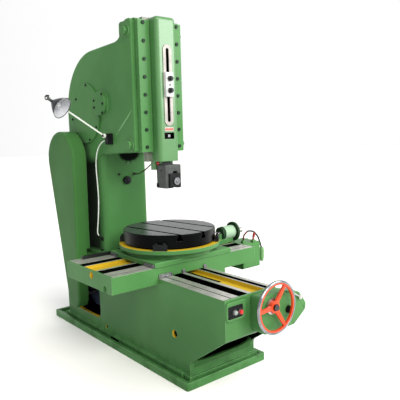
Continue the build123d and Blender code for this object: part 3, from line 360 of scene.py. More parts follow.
def steel(name, low, high, rough, metallic, grain):
    f = Finish(name)
    w = steelWear
    marks = f.grain(grain)
    smear = f.grain(w["smear"], 4.0)
    colour = f.mix(f.ramp(marks, *w["markTurn"]), low, high)
    rounded = f.rounded(w["roundEdge"])
    colour = f.mix(f.edge(rounded) * w["edgeShare"], colour, high)
    bySmear, byMarks = w["roughShares"]
    roughness = rough + (smear - 0.5) * bySmear + (marks - 0.5) * byMarks
    return f.surface(colour, roughness, metallic, f.bump(marks, *w["bump"], rounded))


# Paints, plastics and rubber with slight clouds and scuffs: two tones, roughness, specular level
plainTones = {
    "orange": ((0.45, 0.036, 0.006), (0.56, 0.052, 0.010), 0.36, 0.3),
    "toolGrey": ((0.028, 0.033, 0.032), (0.050, 0.058, 0.056), 0.42, 0.3),
    "cream": ((0.27, 0.25, 0.235), (0.37, 0.345, 0.325), 0.45, 0.3),
    "block": ((0.42, 0.43, 0.43), (0.54, 0.55, 0.55), 0.32, 0.3),
    "black": ((0.003, 0.0034, 0.004), (0.008, 0.009, 0.010), 0.42, 0.14),
    "signRed": ((0.42, 0.075, 0.055), (0.52, 0.12, 0.09), 0.40, 0.3),
    "red": ((0.44, 0.012, 0.014), (0.56, 0.022, 0.022), 0.33, 0.3),
    "darkRed": ((0.17, 0.011, 0.013), (0.25, 0.020, 0.020), 0.40, 0.3),
    "white": ((0.22, 0.245, 0.235), (0.31, 0.34, 0.325), 0.36, 0.3),
    "sheath": ((0.50, 0.55, 0.50), (0.62, 0.67, 0.62), 0.45, 0.3),
    "rubber": ((0.008, 0.008, 0.008), (0.020, 0.020, 0.020), 0.75, 0.3),
    "motor": ((0.012, 0.020, 0.045), (0.020, 0.030, 0.060), 0.45, 0.3),
    "boltGreen": ((0.004, 0.012, 0.007), (0.010, 0.026, 0.014), 0.40, 0.10),
    "felt": ((0.010, 0.012, 0.013), (0.034, 0.038, 0.040), 0.80, 0.3),
}
plainWear = {"cloud": 18, "cloudTurn": (0.32, 0.68), "fine": 420, "scuff": 90,
             "scuffTurn": (0.40, 0.65), "scuffShare": 0.5, "roughShares": (0.18, 0.06),
             "bump": (0.08, 0.0006)}


def plain(name, low, high, rough, specular, roundEdge=0.0015, spots=None):
    f = Finish(name)
    w = plainWear
    cloud = f.grain(w["cloud"], 4.0)
    fine = f.grain(w["fine"], 2.0)
    colour = f.mix(f.ramp(cloud, *w["cloudTurn"]), low, high)
    rounded = f.rounded(roundEdge)
    scuffs = f.edge(rounded) * f.ramp(f.grain(w["scuff"]), *w["scuffTurn"])
    colour = f.mix(scuffs * w["scuffShare"], colour, high)
    byCloud, byFine = w["roughShares"]
    roughness = rough + (cloud - 0.5) * byCloud + (fine - 0.5) * byFine
    colour, roughness, metallic = laySpots(f, spots, colour, roughness, 0.0)
    normal = f.bump(fine, *w["bump"], rounded)
    return f.surface(colour, roughness, metallic, normal, specular)


# A machined way: fine marks along it and faint scraping
scrapedFace = {"patches": 22, "shares": (0.7, 0.3), "turn": (0.36, 0.62)}


def scraped(f, marks):
    s = scrapedFace
    byMarks, byPatches = s["shares"]
    worked = f.grain(marks) * byMarks + f.grain(s["patches"], 2.0) * byPatches
    return f.mix(f.ramp(worked, *s["turn"]), steelDull, steelBright)


def waySpots(f, w, across, along):  # mask of the flat tops, rows of the grooves, row of the valley
    top = w["top"] - skin
    within = inside(along, *w["ends"])

    def sunk(band, depth):
        return inside(across, *band) * inside(f.z, w["top"] - depth, top) * within

    # The deep grooves are painted near black as painted shade
    black = either([sunk(band, w["grooveDepth"]) for band in w["grooves"]])
    grooves = [(sunk(w["oilGroove"], w["oilDepth"]), *oilGrooveAndShadeCoat), (black, *grooveShadeCoat)]
    return (f.z > top) * within, grooves, (sunk(w["valley"], w["valleyDepth"]), *ochreCoat)


# Bed: ways run along Y, with deep grooves in painted shade, a yellow valley and an oil groove; painted shade
# in the rooms inside
bedWays = {
    "grooves": [(-0.156, -0.081), (0.061, 0.099)],
    "grooveDepth": 0.0445,
    "valley": (-0.053, 0.053),
    "valleyDepth": 0.0245,
    "oilGroove": (-0.215, -0.205),
    "oilDepth": 0.0035,
    "ends": (-1.1512, 0.1605),
    "top": 0.600,
    "shoulder": (0.130, 0.513, 0.517),  # its left side, and the heights that it lies between
    "marks": (900, 6, 6),
    "shine": (0.36, 0.75),  # roughness and metallic
    "leftWall": (-0.2676, -0.2399),
    "window": [(0.216, 0.591), (0.134, 0.401)],
    "holes": [(-0.706, 0.285, 0.0255, -0.252), (0.135, 0.096, 0.0145, -0.262)],  # y, z, radius, end of paint
    "shadedRooms": [
        [(-0.2405, 0.2405), (0.192, 0.723), (0.030, 0.574)],
        [(-0.2405, 0.2405), (-0.8225, 0.138), (0.030, 0.4862)],
        [(-0.2405, 0.2405), (-1.138, -0.8225), (0.150, 0.4862)],
        [(-0.0486, 0.0486), (-1.138, 0.138), (0.4862, 0.5746)],
        [(-0.2826, -0.240), (-0.0525, 0.0585), (0.0295, 0.0505)],
    ],
}


def bedSpots(f):
    w = bedWays
    flat, grooves, valley = waySpots(f, w, f.x, f.y)
    left, *heights = w["shoulder"]
    shoulder = (f.x > left) * inside(f.z, *heights) * (f.y < w["ends"][1])
    ways = (flat | shoulder) * (f.up > flatUp)
    reveals = [inBox(f, w["leftWall"], *w["window"])]
    # Painted shade: the hollow rooms and the holes' far walls are painted near black
    dark = [inBox(f, *room) for room in w["shadedRooms"]]
    for y, z, radius, paintEnd in w["holes"]:
        hole = outOf(f.y, f.z, (y, z)) < radius * radius
        reveals.append(hole * inside(f.x, w["leftWall"][0], paintEnd))
        dark.append(hole * inside(f.x, *w["leftWall"]))
    return [
        (ways, scraped(f, w["marks"]), *w["shine"]),
        *grooves,
        (either(dark), *roomShadeCoat),
        valley,
        (either(reveals), *ochreCoat),
    ]


# Saddle: the same ways, along X, and a yellow hole in its left end
saddleWays = {
    "grooves": [(-0.429, -0.347), (-0.179, -0.111)],
    "grooveDepth": 0.0405,
    "valley": (-0.333, -0.189),
    "valleyDepth": 0.0205,
    "oilGroove": (-0.501, -0.493),
    "oilDepth": 0.0035,
    "ends": (-0.5822, 0.5822),
    "top": 0.668,
    "marks": (6, 900, 6),
    "shine": (0.36, 0.65),
    "railFoot": 0.669,
    "rail": ((0.03, 0.033, 0.034), 0.45, 1.0),
    "dropHole": (-0.303, 0.638, 0.030),
    "dropDepth": 0.06,
}


def saddleSpots(f):
    w = saddleWays
    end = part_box("saddle")[0].x
    flat, grooves, valley = waySpots(f, w, f.y, f.x)
    y, z, radius = w["dropHole"]
    hole = (outOf(f.y, f.z, (y, z)) < radius * radius) * inside(f.x, end + skin, end + w["dropDepth"])
    return [
        (flat * (f.up > flatUp), scraped(f, w["marks"]), *w["shine"]),
        *grooves,
        valley,
        (hole, *ochreCoat),
        (f.z > w["railFoot"], *w["rail"]),
    ]


# Cross slide: the ring under the table is yellow on top
slideRing = {"top": 0.760, "coat": (ochre, 0.42, 0.0)}


def slideSpots(f):
    ring = (f.z > slideRing["top"] - skin) * (f.up > flatUp)
    return [(ring, *slideRing["coat"])]


# Ram: bare wings in the guide, and painted shade in its slot and adjuster window
ramFaces = {
    "wings": (-0.264, 1.312),  # behind this y, above this z
    "bare": [(0.10, 0.12, 0.085), (0.17, 0.18, 0.15)],
    "marks": (60, 60, 900),
    "shine": (0.45, 0.4),
    "openings": [
        [(-0.0402, 0.0402), (-0.3544, -0.315), (1.4578, 1.5002)],
        [(-0.0122, 0.0122), (-0.3544, -0.312), (1.56, 2.05)],
    ],
}


def ramSpots(f):
    r = ramFaces
    rear, foot = r["wings"]
    return [
        ((f.y > rear) * (f.z > foot), f.mix(f.grain(r["marks"]), *r["bare"]), *r["shine"]),
        # The slot and adjuster window are painted near black as painted shade
        (either([inBox(f, *opening) for opening in r["openings"]]), *oilGrooveAndShadeCoat),
    ]


# Column: painted shade on its side behind the belt guard, and painted shade on its front under the head
columnPaintedShade = {
    "side": -0.1885,
    "rear": (0.245, 0.330),
    "foot": (0.60, 0.66),
    "top": (1.36, 1.28),
    "share": 0.97,
    "guardSideShade": ((0.004, 0.007, 0.004), 0.7, 0.0),
    "front": (0.205, 0.209),
    "recess": (0.035, 1.352),
    "reach": (0.100, 0.062),
    "fade": (1.1, 0.45),
}


def columnSpots(f):
    c = columnPaintedShade
    guardSideShade = (f.x < c["side"]) * f.ramp(f.y, *c["rear"]) * f.ramp(f.z, *c["foot"]) * f.ramp(f.z, *c["top"])
    across = (f.x - c["recess"][0]) / c["reach"][0]
    rise = (f.z - c["recess"][1]) / c["reach"][1]
    recess = f.ramp(across * across + rise * rise, *c["fade"]) * inside(f.y, *c["front"])
    return [(guardSideShade * c["share"], *c["guardSideShade"]), (recess, *roomShadeCoat)]


# Index drum: pale drum, dark flange, green foot
indexDrum = {"middle": (-0.280, 0.742), "reach": 0.0512,
             "drum": (0.5205, 0.640), "drumCoat": ((0.25, 0.37, 0.26), 0.35, 0.0),
             "flange": (0.490, 0.5205), "flangeCoat": (darkGreen, 0.5, 0.0)}


def drumSpots(f):
    d = indexDrum
    onDrum = outOf(f.y, f.z, d["middle"]) < d["reach"] ** 2
    return [
        (onDrum * inside(f.x, *d["drum"]), *d["drumCoat"]),
        (onDrum * inside(f.x, *d["flange"]), *d["flangeCoat"]),
    ]


# Table: dark iron, turned on top
tableIron = {
    "middle": (0.030, -0.280),
    "top": 0.856,
    "low": (0.016, 0.019, 0.020),
    "high": (0.050, 0.058, 0.060),
    "side": (0.003, 0.0033, 0.0036),
    "edge": (0.10, 0.11, 0.11),
    "edgeShare": 0.35,
    "roundEdge": 0.002,
    "cloud": 7,
    "cloudTurn": (0.33, 0.66),
    "turningPitch": 0.0016,
    "turningShares": (0.03, 0.4),  # in the colour and in the height
    "groove": (0.8012, 0.8042),
    "grooveDepth": 6.0,
    "pores": 90,
    "bump": (0.10, 0.0008),
    "roughness": (0.34, 0.30, 0.04),  # all over, by clouds, and less on top
    "metallic": (0.9, 0.5),  # all over, and less on top
    "specular": 0.25,
}


def tableFinish():
    t = tableIron
    f = Finish("tableIron")
    rings = (outOf(f.x, f.y, t["middle"]).root() * (2 * math.pi / t["turningPitch"])).sine()
    inColour, inHeight = t["turningShares"]
    cloud = f.grain(t["cloud"], 4.0)
    flat = (f.z > t["top"] - skin) * (f.up > flatUp)
    top = f.mix(f.ramp(cloud + rings * inColour, *t["cloudTurn"]), t["low"], t["high"])
    colour = f.mix(flat, t["side"], top)
    rounded = f.rounded(t["roundEdge"])
    colour = f.mix(f.edge(rounded) * t["edgeShare"], colour, t["edge"])
    whole, byCloud, onTop = t["roughness"]
    roughness = whole + (cloud - 0.5) * byCloud - flat * onTop
    line = inside(f.z, *t["groove"]) * (1 - flat)
    height = f.grain(t["pores"], 2.0) + rings * flat * inHeight - line * t["grooveDepth"]
    whole, onTop = t["metallic"]
    normal = f.bump(height, *t["bump"], rounded)
    return f.surface(colour, roughness, whole - flat * onTop, normal, t["specular"])


# Lamp shade: black outside with a paler crown, white inside
lampMouth = {
    "neck": (-0.586, 0.200, 1.746),
    "way": (0.391, -0.762, -0.515),
    "inside": 0.0585,
    "outer": [(0.004, 0.005, 0.008), (0.014, 0.016, 0.022)],
    "inner": [(0.36, 0.37, 0.40), (0.46, 0.47, 0.51)],
    "crown": (0.10, 0.10, 0.11),
    "crownFade": (0.060, 0.020),
    "crownShare": 0.7,
    "cloud": 30,
    "roughness": (0.28, 0.2, 0.2),  # all over, by clouds, and more inside
    "bump": (0.05, 0.001),
    "specular": 0.16,
}


def shadeFinish():
    m = lampMouth
    f = Finish("shadeEnamel")
    cloud = f.grain(m["cloud"])
    way = Vector(m["way"]).normalized()
    depth = f.x * way.x + f.y * way.y + f.z * way.z - Vector(m["neck"]).dot(way)
    outward = f.place.vector("SUBTRACT", m["neck"]).dot(f.facing) - f.facing.dot(tuple(way)) * depth
    inward = (outward < 0.0) * (depth > m["inside"])
    outer = f.mix(f.ramp(depth, *m["crownFade"]) * m["crownShare"], f.mix(cloud, *m["outer"]), m["crown"])
    colour = f.mix(inward, outer, f.mix(cloud, *m["inner"]))
    whole, byCloud, within = m["roughness"]
    roughness = whole + (cloud - 0.5) * byCloud + inward * within
    return f.surface(colour, roughness, 0.0, f.bump(cloud, *m["bump"]), m["specular"])


bulbGlass = {"tones": [(0.40, 0.41, 0.42), (0.50, 0.51, 0.52)], "cloud": 40,
             "roughness": (0.30, 0.1), "bump": (0.02, 0.001), "specular": 0.2}


def glassFinish():
    b = bulbGlass
    f = Finish("bulbGlass")
    cloud = f.grain(b["cloud"])
    whole, byCloud = b["roughness"]
    normal = f.bump(cloud, *b["bump"])
    return f.surface(f.mix(cloud, *b["tones"]), whole + cloud * byCloud, 0.0, normal, b["specular"])


# Index plate: dark green with rings of small sighting holes, painted black as painted shade
indexRings = {"rows": [(0.058, 48), (0.048, 40), (0.038, 30)], "hole": 0.0016,
              "coat": (grooveBlack, 0.6, 0.0)}


def indexSpots(f):
    r = indexRings
    y, z = indexDrum["middle"]
    angle = (f.z - z).angle(f.y - y)
    reach = outOf(f.y, f.z, (y, z)).root()
    holes = []
    for radius, count in r["rows"]:
        step = 2 * math.pi / count
        across = (angle % step - step / 2) * radius
        away = reach - radius
        holes.append((across * across + away * away) < r["hole"] ** 2)
    return [(either(holes), *r["coat"])]


# Dial collar behind the handwheel: bright with dark division lines, and a dark nut
dialMarks = {
    "middle": (0.0, 0.533),
    "count": 60,
    "lineAngle": 0.018,
    "lines": (-1.2632, -1.2558),
    "rim": 0.0455,
    "nutEnd": -1.2832,
    "ink": (0.02, 0.02, 0.02),
    "nut": (0.055, 0.058, 0.062),
    "marks": (60, 900, 60),
    "roughness": (0.30, 0.15, 0.3),  # all over, by marks, and more on the lines
    "roundEdge": 0.001,
    "bump": (0.05, 0.001),
}


def dialFinish():
    d = dialMarks
    f = Finish("dialSteel")
    marks = f.grain(d["marks"])
    angle = (f.z - d["middle"][1]).angle(f.x - d["middle"][0])
    onRim = outOf(f.x, f.z, d["middle"]) > d["rim"] ** 2
    line = (angle % (2 * math.pi / d["count"]) < d["lineAngle"]) * onRim * inside(f.y, *d["lines"])
    colour = f.mix(line, f.mix(marks, steelDull, steelBright), d["ink"])
    colour = f.mix(f.y < d["nutEnd"], colour, d["nut"])
    whole, byMarks, onLines = d["roughness"]
    roughness = whole + (marks - 0.5) * byMarks + line * onLines
    normal = f.bump(marks, *d["bump"], f.rounded(d["roundEdge"]))
    return f.surface(colour, roughness, 1 - line, normal)


# Clutch lever: black rod with a dark red sleeve at its foot, green grip
leverGrip = {"gripX": 0.8125, "gripTop": 0.6025, "grip": ((0.105, 0.235, 0.090), 0.4, 0.0),
             "sleeveX": 0.680, "sleeveFoot": 0.690, "sleeve": ((0.075, 0.010, 0.007), 0.5, 0.0),
             "roundEdge": 0.001}


def clutchSpots(f):
    v = leverGrip
    grip = (f.x > v["gripX"]) * (f.z < v["gripTop"])
    sleeve = (f.x < v["sleeveX"]) * (f.z > v["sleeveFoot"])
    return [(grip, *v["grip"]), (sleeve, *v["sleeve"])]


finishes = {
    "green": enamel("greenEnamel", greenTones),
    "bed": enamel("bedCasting", greenTones, bedSpots),
    "saddle": enamel("saddleCasting", greenTones, saddleSpots),
    "slide": enamel("slideCasting", greenTones, slideSpots),
    "ram": enamel("ramCasting", ramTones, ramSpots),
    "guard": enamel("guardSheetAndShade", guardAndShadeTones),
    "rib": enamel("ribHighlightEnamel", ribHighlightTones),
    "column": enamel("columnCasting", greenTones, columnSpots),
    "drum": enamel("indexDrum", greenTones, drumSpots),
    "index": enamel("indexPlate", indexTones, indexSpots),
    "table": tableFinish(),
    "shade": shadeFinish(),
    "glass": glassFinish(),
    "dial": dialFinish(),
    "clutch": plain("clutchLever", *plainTones["black"], leverGrip["roundEdge"], clutchSpots),
}
for key, tones in steelTones.items():
    finishes[key] = steel(key + "Steel", *tones)
for key, tones in plainTones.items():
    finishes[key] = plain(key + "Paint", *tones)
cord.data.materials.append(finishes["sheath"])

dressing = {
    "bed": "base_casting",
    "column": "column_casting",
    "saddle": "saddle",
    "slide": "cross_slide",
    "ram": "ram",
    "guard": "belt_guard",
    "drum": "index_bracket",
    "index": "index_plate",
    "table": "rotary_table",
    "shade": "lamp_shade",
    "glass": "lamp_bulb",
    "dial": "saddle_screw",
    "clutch": "clutch_lever",
    "green": "gear_cover bearing_cap guide_frame guide_strips feed_box cross_feed_box tilt_bolts"
             " rocker_lever",
    "bright": "lever_pivot_pin tool_hinge_pin cross_screw index_shaft input_shaft shift_lever saddle_nut"
              " cross_nut crank_block ram_bracket",
    "dark": "clamp_nuts oil_sight",
    "boltGreen": "strip_bolts",
    "gear": "bull_gear second_shaft table_ring_gear driven_pulley motor_pulley",
    "chrome": "handwheel_rim tool_clamp_screws",
    "wiper": "ram_adjuster",
    "copper": "oil_pipe",
    "orange": "handwheel_spider",
    "toolGrey": "tool_head",
    "cream": "ram_slot_plate",
    "block": "ram_clamp_block",
    "black": "button_panel feed_knob lamp_bracket cable_gland tool_clamp_plate table_clamps",
    "red": "stop_button",
    "darkRed": "trip_lever",
    "white": "start_button",
    "sheath": "lamp_arm",
    "rubber": "drive_belts",
    "motor": "motor",
}


def dress(name, material):
    mesh = nodes[name].data
    if not mesh.materials:
        mesh.materials.append(material)
    for slot in nodes[name].material_slots:
        slot.material = material


dressed = {name: key for key, names in dressing.items() for name in names.split()}
for name, key in dressed.items():
    dress(name, finishes[key])
print("finishes made; bare nodes:", sorted(set(nodes) - set(dressed) - {"lamp_cable"}))


toLeft, toRight, toFront, toTop = (-1, 0, 0), (1, 0, 0), (0, -1, 0), (0, 0, 1)


# Mesh shapes: loops of points are lofted along a local Z axis
def facing(place, way):
    return Matrix.Translation(place) @ Vector(way).to_track_quat("Z", "Y").to_matrix().to_4x4()


def pole(height):
    return [Vector((0, 0, height))]


def ring(radius, height, sides=0, count=24):
    points = []
    for step in range(count):
        turn = 2 * math.pi * step / count
        reach = radius
        if sides:
            part = turn % (2 * math.pi / sides) - math.pi / sides
            reach = radius * math.cos(math.pi / sides) / math.cos(part)
        points.append(Vector((reach * math.cos(turn), reach * math.sin(turn), height)))
    return points


def loft(bm, loops, place=Matrix.Identity(4)):
    rows = [[bm.verts.new(place @ point) for point in loop] for loop in loops]
    for low, high in zip(rows, rows[1:]):
        count = max(len(low), len(high))
        for step in range(count):
            after = (step + 1) % count
            corners = [low[step % len(low)], low[after % len(low)]]
            corners += [high[after % len(high)], high[step % len(high)]]
            bm.faces.new(list(dict.fromkeys(corners)))


def turned(bm, profile, place, count=24):  # rows of radius and height, and the number of flats if any
    loft(bm, [ring(*row, count=count) if row[0] else pole(row[1]) for row in profile], place)


def closeUp(bm):  # the first and last loop of a closed profile become one
    bmesh.ops.remove_doubles(bm, verts=bm.verts, dist=1e-6)


def slab(bm, low, high, edge):
    size = Vector(high) - Vector(low)
    middle = (Vector(high) + Vector(low)) / 2
    made = bmesh.ops.create_cube(bm, size=1, matrix=Matrix.Translation(middle) @ Matrix.Diagonal((*size, 1)))
    edges = list({line for corner in made["verts"] for line in corner.link_edges})
    bmesh.ops.bevel(bm, geom=edges, offset=edge, segments=2, profile=0.5, affect="EDGES")


# Screw and bolt heads, in shares of their radius and height
socketScrew = [(0, 0), (1, 0), (1, 0.82), (0.9, 1), (0.58, 1, 6), (0.58, 0.45, 6), (0, 0.45)]
hexBolt = [(0, 0), (1.4, 0), (1.4, 0.16), (1.35, 0.2), (1, 0.2, 6), (1, 0.88, 6), (0.84, 1), (0, 1)]


def heads(bm, kind, places, way, size):
    radius, height = size
    profile = [(radius * share, height * rise, *flats) for share, rise, *flats in kind]
    for place in places:
        turned(bm, profile, facing(place, way))


def hose(bm, rows, sides):  # rows of middle, way and radius
    loops = []
    for middle, way, radius in rows:
        loops.append([facing(middle, way) @ point for point in ring(radius, 0, 0, sides)])
    loft(bm, [[rows[0][0]], *loops, [rows[-1][0]]])


def turnedFill(row):
    return lambda bm: turned(bm, row["profile"], facing(row["place"], row["way"]))


def frontHeads(kind, row):
    return lambda bm: heads(bm, kind, row["places"], toFront, row["size"])


smoothBelow = math.radians(32)


def piece(name, body, finish, fill):
    bm = bmesh.new()
    fill(bm)
    bmesh.ops.recalc_face_normals(bm, faces=bm.faces)
    mesh = bpy.data.meshes.new(name)
    bm.to_mesh(mesh)
    bm.free()
    mesh.shade_smooth()
    mesh.set_sharp_from_angle(angle=smoothBelow)
    mesh.materials.append(finishes[finish])
    thing = addObject(name, mesh)
    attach(thing, body)
    return thing


# Screws of the round gear cover and the bearing cap, on the left side of the head
coverScrews = {
    "gear_cover": [(0.356, 1.858), (0.520, 1.768), (0.592, 1.621), (0.532, 1.511), (0.335, 1.464),
                   (0.228, 1.552)],
    "bearing_cap": [(0.107, 1.777), (0.102, 1.711), (0.113, 1.649), (0.222, 1.738), (0.222, 1.690)],
    "size": (0.0085, 0.006),
}


def fillCoverScrews(bm):
    for cover in ("gear_cover", "bearing_cap"):
        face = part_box(cover)[0].x
        heads(bm, socketScrew, [(face, y, z) for y, z in coverScrews[cover]], toLeft, coverScrews["size"])


piece("coverScrews", "frame", "dark", fillCoverScrews)

# Bolts of the column foot
footBolts = {"x": (-0.204, 0.204), "y": (0.262, 0.455, 0.648), "endX": (-0.1, 0.1), "endY": (0.190, 0.719),
             "z": 0.638, "size": (0.0088, 0.013)}


def fillFootBolts(bm):
    b = footBolts
    places = [(x, y, b["z"]) for x in b["x"] for y in b["y"]]
    places += [(x, y, b["z"]) for x in b["endX"] for y in b["endY"]]
    heads(bm, hexBolt, places, toTop, b["size"])


piece("columnFootBolts", "frame", "dark", fillFootBolts)

# Front of the feed box: cover screws, low enough for the shift lever to pass
boxScrews = {
    "places": [(-0.056, 0.568), (0.105, 0.574), (0.228, 0.556), (0.285, 0.468), (0.192, 0.396),
               (-0.036, 0.396)],
    "size": (0.007, 0.003),
}


def fillBoxScrews(bm):
    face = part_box("feed_box")[0].y
    heads(bm, socketScrew, [(x, face, z) for x, z in boxScrews["places"]], toFront, boxScrews["size"])


piece("feedBoxScrews", "frame", "green", fillBoxScrews)

# Button plate: cast rim round it, bezels and corner screws
panelTrim = {
    "low": (-0.2672, 0.481),
    "high": (-0.119, 0.587),
    "depth": 0.013,
    "mouth": [(0, 0.0065, 0.0028), (0.0016, 0.0075, 0.0008), (0.004, 0.009, 0)],  # grown by, corner, depth
    "rim": [(0.004, 0.014, 0), (0.0012, 0.0168, 0.0012), (0, 0.018, 0.004)],  # shrunk by, corner, depth
    "seat": (0.0024, 0.0085),
    "lap": 0.002,
    "lift": 0.0002,
    "buttons": [(-0.207, 0.526), (-0.165, 0.522)],
    "bezel": [(0.0128, 0), (0.0165, 0), (0.0165, 0.0024), (0.0155, 0.004), (0.0136, 0.004), (0.0128, 0.0028),
              (0.0128, 0)],
    "screw": (0.0035, 0.002),
    "screwInset": 0.010,
}


def roundedLoop(low, high, corner, y, steps=5):
    (left, floor), (right, top) = low, high
    middles = [(right - corner, top - corner), (left + corner, top - corner),
               (left + corner, floor + corner), (right - corner, floor + corner)]
    points = []
    for quarter, (x, z) in enumerate(middles):
        for step in range(steps + 1):
            turn = math.radians(90 * quarter + 90 * step / steps)
            points.append(Vector((x + corner * math.cos(turn), y, z + corner * math.sin(turn))))
    return points


def fillPanelRim(bm):
    p = panelTrim
    low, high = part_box("button_panel")
    plate, back, front = low.y - p["lift"], high.y, high.y - p["depth"]

    def inner(grow, corner, y):
        out = grow - p["lap"]
        return roundedLoop((low.x - out, low.z - out), (high.x + out, high.z + out), corner, y)

    def outer(shrink, corner, y):
        first, last = [side + shrink for side in p["low"]], [side - shrink for side in p["high"]]
        return roundedLoop(first, last, corner, y)

    start = inner(*p["mouth"][0][:2], plate)
    loops = [inner(grow, corner, front + depth) for grow, corner, depth in p["mouth"]]
    loops += [outer(shrink, corner, front + depth) for shrink, corner, depth in p["rim"]]
    loops += [outer(*p["rim"][-1][:2], back), inner(*p["seat"], back), inner(*p["seat"], plate)]
    loft(bm, [start, *loops, start])
    closeUp(bm)


def fillBezels(bm):
    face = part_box("button_panel")[0].y
    for x, z in panelTrim["buttons"]:
        turned(bm, panelTrim["bezel"], facing((x, face, z), toFront), 32)
    closeUp(bm)


def fillPanelScrews(bm):
    p = panelTrim
    inset = p["screwInset"]
    low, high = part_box("button_panel")
    places = [(x, low.y, z) for x in (low.x + inset, high.x - inset) for z in (low.z + inset, high.z - inset)]
    heads(bm, socketScrew, places, toFront, p["screw"])


piece("buttonPanelRim", "frame", "green", fillPanelRim)
piece("buttonBezels", "frame", "wiper", fillBezels)
piece("buttonPanelScrews", "frame", "dark", fillPanelScrews)

# Felt wipers under steel plates, on the ends of the cross slide and the front of the saddle
wipers = {
    "slide": {"along": "x", "ends": [(-0.290, -1), (0.350, 1)], "bands": [(-0.550, -0.436), (-0.106, -0.024)],
              "floor": saddleWays["top"], "high": 0.0225},
    "saddle": {"along": "y", "ends": [(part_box("saddle")[0].y, -1)],
               "bands": [(-0.262, -0.160), (-0.078, -0.056), (0.102, 0.126)],
               "floor": bedWays["top"], "high": 0.024},
    "felt": {"reach": (0, 0.004), "lift": 0.0003, "short": 0.003},
    "plate": {"reach": (0.004, 0.009), "lift": 0.002, "short": 0},
    "edge": 0.0008,
    "screw": (0.005, 0.004),
    "screwShares": (0.2, 0.8),
    "screwRise": 0.55,
}


def wiperFill(rowName, partName):
    row, part = wipers[rowName], wipers[partName]

    def at(reach, across, rise):
        height = row["floor"] + rise
        return (reach, across, height) if row["along"] == "x" else (across, reach, height)

    def fill(bm):
        for end, side in row["ends"]:
            near, far = sorted(end + side * reach for reach in part["reach"])
            way = (side, 0, 0) if row["along"] == "x" else (0, side, 0)
            for first, last in row["bands"]:
                high = at(far, last, row["high"] - part["short"])
                slab(bm, at(near, first, part["lift"]), high, wipers["edge"])
                if partName == "plate":
                    face, rise = end + side * part["reach"][1], row["high"] * wipers["screwRise"]
                    spots = [first + (last - first) * share for share in wipers["screwShares"]]
                    heads(bm, socketScrew, [at(face, spot, rise) for spot in spots], way, wipers["screw"])

    return fill


for rowName, body in (("slide", "cross_slide"), ("saddle", "saddle")):
    piece(rowName + "WiperFelts", body, "felt", wiperFill(rowName, "felt"))
    piece(rowName + "WiperPlates", body, "wiper", wiperFill(rowName, "plate"))

# Clamp bolts of the table, on the yellow ring
clampBolts = {"reach": 0.331, "angles": (-137, -47, 43, 133), "top": 0.800, "size": (0.008, 0.010),
              "spread": 0.026}


def fillClampBolts(bm):
    c = clampBolts
    half = c["spread"] / c["reach"]
    turns = [math.radians(angle) + side * half for angle in c["angles"] for side in (-1, 1)]
    offset = Vector((*tableIron["middle"], c["top"]))
    places = [offset + Vector((math.cos(turn), math.sin(turn), 0)) * c["reach"] for turn in turns]
    heads(bm, hexBolt, places, toTop, c["size"])


piece("tableClampBolts", "cross_slide", "dark", fillClampBolts)

# Red end of the tool hinge, left of the gap above the tool head
hingeEnd = {"place": (-0.060, -0.303, 1.300), "way": toLeft,
            "profile": [(0, 0), (0.0076, 0), (0.0095, 0.0022), (0.0095, 0.0077), (0.00665, 0.01045),
                        (0, 0.011)]}
piece("hingeEndCap", "ram", "red", turnedFill(hingeEnd))

# Small plain plate under the slotted plate: pale with a red band, no words
ramPlate = {
    "plate": {"x": (-0.036, 0.036), "z": (1.508, 1.536), "out": (0, 0.0012), "edge": 0.0005},
    "band": {"x": (-0.032, 0.032), "z": (1.516, 1.528), "out": (0.0012, 0.0016), "edge": 0.00015},
}


def plateFill(part):
    def fill(bm):
        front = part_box("ram_slot_plate")[1].y
        (left, right), (floor, top), (near, far) = part["x"], part["z"], part["out"]
        slab(bm, (left, front - far, floor), (right, front - near, top), part["edge"])

    return fill


piece("plainPlate", "ram", "cream", plateFill(ramPlate["plate"]))
piece("plainPlateBand", "ram", "signRed", plateFill(ramPlate["band"]))

# Oil sight: domed glass, ring screws
oilSight = {
    "middle": (0.003, 1.157),
    "lens": [(0, 0), (0.019, 0), (0.019, 0.002), (0.01615, 0.0045), (0.0095, 0.0065), (0, 0.0072)],
    "screwReach": 0.024,
    "screws": 4,
    "screw": (0.0038, 0.003),
}


def sightMiddle():
    x, z = oilSight["middle"]
    return Vector((x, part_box("oil_sight")[0].y, z))


def fillSightLens(bm):
    turned(bm, oilSight["lens"], facing(sightMiddle(), toFront), 32)


def fillSightScrews(bm):
    o = oilSight
    turns = [2 * math.pi * (step + 0.5) / o["screws"] for step in range(o["screws"])]
    places = [sightMiddle() + Vector((math.cos(turn), 0, math.sin(turn))) * o["screwReach"] for turn in turns]
    heads(bm, socketScrew, places, toFront, o["screw"])


piece("oilSightLens", "frame", "black", fillSightLens)
piece("oilSightScrews", "frame", "dark", fillSightScrews)

# Cord ends: tapered sleeves that follow the cord out of the bracket and the gland
cordSleeves = {"root": 0.0080, "tip": 0.0046, "share": 0.50, "ribs": 6, "ribSteps": 3, "groove": 0.0008,
               "sides": 20}


def fillSleeves(bm):
    c = cordSleeves
    route = [Vector(place) for place in lampCord["route"]]
    steps = c["ribs"] * c["ribSteps"]
    for start, bend, after in (route[:3], route[:-4:-1]):
        half = (bend + after) / 2  # the cord's curve ends its first part halfway along the second leg
        rows = []
        for step in range(steps + 1):
            part = step / steps
            t = part * c["share"]
            middle = start * (1 - t) ** 2 + bend * 2 * t * (1 - t) + half * t * t
            way = (bend - start) * (1 - t) + (half - bend) * t
            groove = c["groove"] if step % c["ribSteps"] == 1 else 0
            rows.append((middle, way, c["root"] + (c["tip"] - c["root"]) * part - groove))
        hose(bm, rows, c["sides"])


sleeves = piece("cordSleeves", "frame", "black", fillSleeves)

